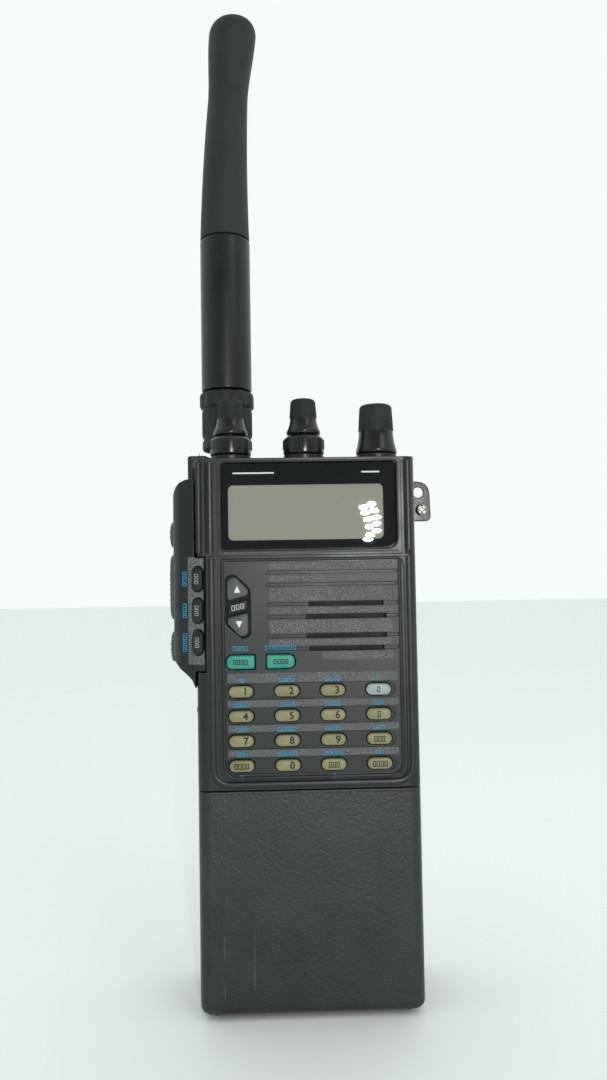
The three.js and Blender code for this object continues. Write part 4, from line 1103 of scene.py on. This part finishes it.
# The housing's finish, with a paler grained strip behind the keys on its slope.
def housingFinish():
    values = bevelValues
    material = finish["smoothCase"].copy()
    material.name = "housingCase"
    tree = material.node_tree
    shader = tree.nodes["Principled BSDF"]
    place = addNode(tree, "ShaderNodeTexCoord").outputs["Object"]
    zone = insideBox(tree, place, values["stripLeft"], values["stripRight"], values["stripLow"],
                     values["stripHigh"], 0.1)
    speckle = spread(tree, noiseNode(tree, place, 2200, 2.0), 0.35, 0.65)
    grey = blendColors(tree, speckle, values["stripDark"], values["stripLight"])
    before = shader.inputs["Base Color"].links[0].from_socket
    wire(tree, blendColors(tree, zone, before, grey), shader.inputs["Base Color"])
    return material


def makeSide():
    softened("side_housing", housingFinish(), 0.35, 3)
    slope = math.radians(bevelValues["slope"])
    out = Vector((-math.sin(slope), -math.cos(slope), 0))
    for name in ("key_step", "key_call", "key_mode"):
        middle = middleOf(name)
        face = middle + out * 0.82
        outline = pill(bevelValues["keyWidth"], bevelValues["keyHeight"])
        cap = raised(outline, [(0, -1.5), (0, 0.02), (0.12, 0.16), (0.35, 0.24)], 0.12, bevelPlane(*face))
        settle(meshOf(cap, name + "_cap", finish["rubberBlack"], 60), name, "rubber", name)
        spot = face + out * 0.36
        grown(name + "_marks", printedMarks, name, "rubber", finish["printWhite"], {
            **gridOf(spot - Vector((0, 0, 0.95)), rows=3, rowStep=(0, 0, 0.95)),
            "Mark Width": 0.95, "Mark Height": 0.6, "Stroke": 0.09, "Turn": (math.pi / 2, 0, -slope)})
    legends = []
    along = Vector((-math.cos(slope), math.sin(slope), 0)) * bevelValues["legendLeft"]
    for name, count in (("key_step", 4), ("key_call", 4), ("key_mode", 5)):
        spot = middleOf(name) + out * 0.84 + along - Vector((0, 0, (count - 1) * 0.5))
        legends.append({**gridOf(spot, rows=count, rowStep=(0, 0, 1.0)), "Mark Width": 1.0,
                        "Mark Height": 0.6, "Stroke": 0.14, "Turn": (math.pi / 2, 0, -slope)})
    grown("housing_legends", printedMarks, "radio", "case_plastic", finish["printBlue"], legends)
    for name, (depth, height) in sideShapes.items():
        low, high = boxOf(name)
        middle = (low + high) / 2
        proud = boxOf("side_housing")[0].x - low.x
        where = facingLeft(boxOf("side_housing")[0].x, middle.y, middle.z)
        cap = raised(pill(depth, height), capLevels(2.2, proud - 0.25, 0.8), 0.25, where)
        settle(meshOf(cap, name + "_cap", finish["keyGrey"], 60), name, "key_grey", name)
        ribs = max(2, int(height / 3))
        grown(name + "_ribs", griddedBars, name, "key_grey", finish["keyGrey"], {
            **gridOf((low.x + 0.12, middle.y, middle.z - (ribs - 1) * 0.7), rows=ribs, rowStep=(0, 0, 1.4)),
            "Start": (0, -depth * 0.26, 0), "End": (0, depth * 0.26, 0), "Thickness": 0.2, "Sides": 8})


makeSide()
print("side housing made")


# knobs, rings and the bosses under them

knobValues = {"ribs": 30, "ribThickness": 0.16, "ringRibs": 36, "bossRadius": 5.5, "gripShare": 0.46}


def knobProfile(low, high, topRadius, skirtRadius):
    height = high - low
    profile = [(0, low), (skirtRadius - 0.25, low), (skirtRadius, low + 0.25), (skirtRadius, low + 0.9)]
    for step in range(1, 13):
        share = step / 12
        z = low + 0.9 + (height * knobValues["gripShare"] - 0.9) * share
        profile.append((topRadius * 1.07 + (skirtRadius - topRadius * 1.07) * (1 - share) ** 1.7, z))
    rounding = 0.9
    profile.append((topRadius, high - rounding))
    for step in range(1, 7):
        angle = math.pi / 2 * step / 6
        profile.append((topRadius - rounding * (1 - math.cos(angle)),
                        high - rounding * (1 - math.sin(angle))))
    profile.append((0, high - 0.12))
    return profile


def makeKnob(name, topRadius, skirtRadius):
    values = knobValues
    low, high = boxOf(name)
    x, y = (low.x + high.x) / 2, (low.y + high.y) / 2
    grip = low.z + (high.z - low.z) * values["gripShare"]
    body = turned(knobProfile(low.z, high.z, topRadius, skirtRadius), x, y, 72)
    for face in body.faces:
        face.material_index = 0 if face.calc_center_median().z > grip else 1
    knob = meshOf(body, name + "_body", [finish["rubberBlack"], finish["glossKnob"]], 50)
    settle(knob, name, "rubber", name)
    grown(name + "_ribs", spunBars, name, "rubber", finish["rubberBlack"], {
        "Count": values["ribs"], "Centre": (x, y, 0), "Start": (topRadius * 1.065, 0, grip + 0.2),
        "End": (topRadius - 0.08, 0, high.z - 0.75), "Thickness": values["ribThickness"], "Sides": 6})


def makeRing(name):
    low, high = boxOf(name)
    x, y = (low.x + high.x) / 2, (low.y + high.y) / 2
    radius = (high.x - low.x) / 2
    bore = 3.3
    profile = [(bore, low.z), (radius - 0.5, low.z), (radius - 0.15, low.z + 0.15), (radius, low.z + 0.5),
               (radius, high.z - 1.3), (radius - 0.2, high.z - 0.8), (radius - 1.0, high.z - 0.12),
               (radius - 1.4, high.z), (bore, high.z)]
    shape = turnedRing(profile, x, y, 72)
    settle(meshOf(shape, name + "_body", finish["glossKnob"], 50), name, "rubber", name)
    grown(name + "_ribs", spunBars, name, "rubber", finish["rubberBlack"], {
        "Count": knobValues["ringRibs"], "Centre": (x, y, 0), "Start": (radius - 0.06, 0, low.z + 1.5),
        "End": (radius - 0.06, 0, high.z - 1.2), "Thickness": 0.17, "Sides": 6})


def makeBosses():
    bosses = []
    for name in ("volume_ring", "squelch_ring", "tuning_knob"):
        low, high = boxOf(name)
        panel = boxOf("top_panel")[1].z
        outer = knobValues["bossRadius"]
        profile = [(3.9, panel - 0.2), (outer, panel - 0.2), (outer, low.z - 0.35),
                   (outer - 0.3, low.z - 0.15), (3.9, low.z - 0.15)]
        bosses.append(turnedRing(profile, (low.x + high.x) / 2, (low.y + high.y) / 2, 64))
    settle(meshOf(merged(bosses), "knob_bosses", finish["smoothCase"], 50), "radio", "case_plastic")


for knob, topRadius, skirtRadius in (("volume_knob", 3.35, 4.6), ("squelch_knob", 3.35, 4.6),
                                     ("tuning_knob", 4.35, 5.55)):
    makeKnob(knob, topRadius, skirtRadius)
for ring in ("volume_ring", "squelch_ring"):
    makeRing(ring)
makeBosses()
print("knobs made")


# antenna: coupling nut, sleeve and rubber whip

antennaValues = {"lobes": 10, "lobeDepth": 0.05, "nutRibs": 40, "waist": 5.75, "base": 7.1, "cap": 6.85,
                 "bend": 3.4, "waistShare": 0.64, "capShare": 0.93, "collarHeight": 4.6}


def antennaCentre():
    low, high = boxOf("antenna_jack")
    return (low.x + high.x) / 2, (low.y + high.y) / 2


def makeCoupling():
    low, high = boxOf("antenna_collar")
    x, y = antennaCentre()
    nutTop = high.z - antennaValues["collarHeight"]
    lobes = antennaValues["lobes"]

    def lobed(angle, z):
        if z < nutTop + 0.2:
            return 1
        return 1 - antennaValues["lobeDepth"] * (0.5 + 0.5 * math.cos(lobes * angle)) ** 3

    profile = [(5.9, low.z), (6.7, low.z), (7.1, low.z + 0.4), (7.1, low.z + 2.6), (6.75, low.z + 3.0),
               (6.75, low.z + 3.5), (7.05, low.z + 3.9), (7.05, nutTop - 0.4), (6.8, nutTop - 0.1),
               (6.8, nutTop + 0.1), (7.55, nutTop + 0.3), (7.83, nutTop + 0.7), (7.83, high.z - 1.0),
               (7.55, high.z - 0.35), (7.0, high.z), (3.35, high.z), (3.35, nutTop - 0.8),
               (5.9, nutTop - 0.8)]
    shape = turnedRing(profile, x, y, 120, lobed)
    settle(meshOf(shape, "coupling_nut", finish["rubberBlack"], 50), "antenna_nut", "rubber",
           "antenna_collar")
    grown("coupling_ribs", spunBars, "antenna_nut", "rubber", finish["rubberBlack"], {
        "Count": antennaValues["nutRibs"], "Centre": (x, y, 0), "Start": (6.98, 0, low.z + 4.3),
        "End": (6.98, 0, nutTop - 0.8), "Thickness": 0.2, "Sides": 6})


def makeSleeve():
    low, high = boxOf("antenna_sleeve")
    x, y = antennaCentre()
    collarTop = boxOf("antenna_collar")[1].z
    radius = (high.x - low.x) / 2
    jackTop = boxOf("antenna_jack")[1].z
    nutTop = collarTop - antennaValues["collarHeight"] - 0.9
    profile = [(0, low.z), (3.0, low.z), (3.0, jackTop + 0.3), (5.4, jackTop + 0.3), (5.4, nutTop - 0.3),
               (3.0, nutTop - 0.3), (3.0, collarTop + 0.5), (radius - 0.45, collarTop + 0.5),
               (radius - 0.1, collarTop + 0.65), (radius, collarTop + 1.0), (radius, high.z - 0.6),
               (radius - 0.12, high.z - 0.2), (radius - 0.45, high.z), (0, high.z)]
    settle(meshOf(turned(profile, x, y, 96), "sleeve_body", finish["satinSleeve"], 50), "antenna",
           "rubber", "antenna_sleeve")


def makeWhip():
    values = antennaValues
    low, high = boxOf("antenna_whip")
    x, y = antennaCentre()
    height = high.z - low.z
    profile = [(0, 0), (values["base"] - 0.35, 0), (values["base"] - 0.05, 0.12), (values["base"], 0.4)]
    steps = 48
    capShare = values["capShare"]
    for step in range(1, steps):
        share = step / steps * capShare
        if share < values["waistShare"]:
            t = share / values["waistShare"]
            radius = values["base"] + (values["waist"] - values["base"]) * t
        else:
            t = (share - values["waistShare"]) / (capShare - values["waistShare"])
            radius = values["waist"] + (values["cap"] - values["waist"]) * t * t * (3 - 2 * t)
        profile.append((radius, share * height))
    for step in range(9):
        angle = math.pi / 2 * step / 8
        z = height * (capShare + (1 - capShare) * math.sin(angle))
        profile.append((values["cap"] * math.cos(angle) ** 0.6, z))
    shape = turned([(radius, low.z + z) for radius, z in profile], x, y, 96)
    for point in shape.verts:
        share = (point.co.z - low.z) / height
        point.co.x += values["bend"] * share * share
    settle(meshOf(shape, "whip_body", finish["whipRubber"], 60), "antenna", "rubber", "antenna_whip")


makeCoupling()
makeSleeve()
makeWhip()
softened("antenna_jack", finish["plated"], 0.12)
print("antenna made")


# strap lug and screws

softened("strap_lug", finish["blackMetal"], 0.2)
softened("strap_screw", finish["plated"], 0.1)


# left side jack cover, a rubber flap with a pull tab

coverValues = {"low": 70.6, "high": 87.0, "half": 5.2, "proud": 0.45}


def makeJackCover():
    values = coverValues
    left = boxOf("front_case")[0].x
    outline = rectangle(-values["half"], values["half"], values["low"], values["high"], 2)
    where = facingLeft(left, 0, 0)
    flap = raised(outline, [(0, -0.5), (0, values["proud"] - 0.2), (0.2, values["proud"])], 0.05, where)
    tab = slab(rectangle(-2.2, 2.2, 75.2, 76.8, 0.6), values["proud"] - 0.1, values["proud"] + 0.7, 0.2,
               where)
    settle(meshOf(merged([flap, tab]), "jack_cover", finish["rubberBlack"], 50), "radio", "rubber")


makeJackCover()


# rear face: screws, a blank name plate

rearValues = {"screwX": 22.5, "screwLow": 64.5, "screwHigh": 134, "plateLow": 72, "plateHigh": 92}


def makeRear():
    values = rearValues
    back = boxOf("battery_case")[1].y
    width, height = 2 * values["screwX"], values["screwHigh"] - values["screwLow"]
    grid = gridOf((-values["screwX"], back, values["screwLow"]), 2, (width, 0, 0), 2, (0, 0, height))
    heads = {**grid, "Start": (0, -0.4, 0), "End": (0, 0.25, 0), "Thickness": 1.7, "Sides": 24}
    grown("rear_screws", griddedBars, "radio", "plated", finish["blackMetal"], heads)
    # the cross slots are dark bars laid on the heads: painted shade standing for each slot's recess
    first = (-values["screwX"], back + 0.14, values["screwLow"])
    slots = [{**grid, "First": first, "Start": Vector(reach) * -1, "End": reach, "Thickness": 0.28,
              "Sides": 4} for reach in ((1.1, 0.12, 0), (0, 0.12, 1.1))]
    grown("rear_screw_slot_shade", griddedBars, "radio", "plated", finish["deepBlack"], slots)
    plate = slab(rectangle(-18, 18, values["plateLow"], values["plateHigh"], 1.2), -0.2, 0.12, 0.08,
                 facingBack(0, back, 0))
    settle(meshOf(plate, "rear_plate", finish["smoothCase"]), "radio", "case_plastic")


makeRear()
print("rear made")


# CAD pieces that stay, with a finish each

kept = {"lcd_panel": "displayGlass", "speaker": "castMetal", "microphone": "castMetal",
        "keypad_mat": "rubberBlack", "control_board": "boardGreen", "chassis": "castMetal",
        "main_board": "boardGreen", "side_board": "boardGreen", "cell_pack": "cellWrap",
        "volume_control": "castMetal", "squelch_control": "castMetal", "tuning_encoder": "castMetal"}

for node, name in kept.items():
    nodes[node].data.materials.clear()
    nodes[node].data.materials.append(finish[name])
print(len(kept), "inner pieces finished")
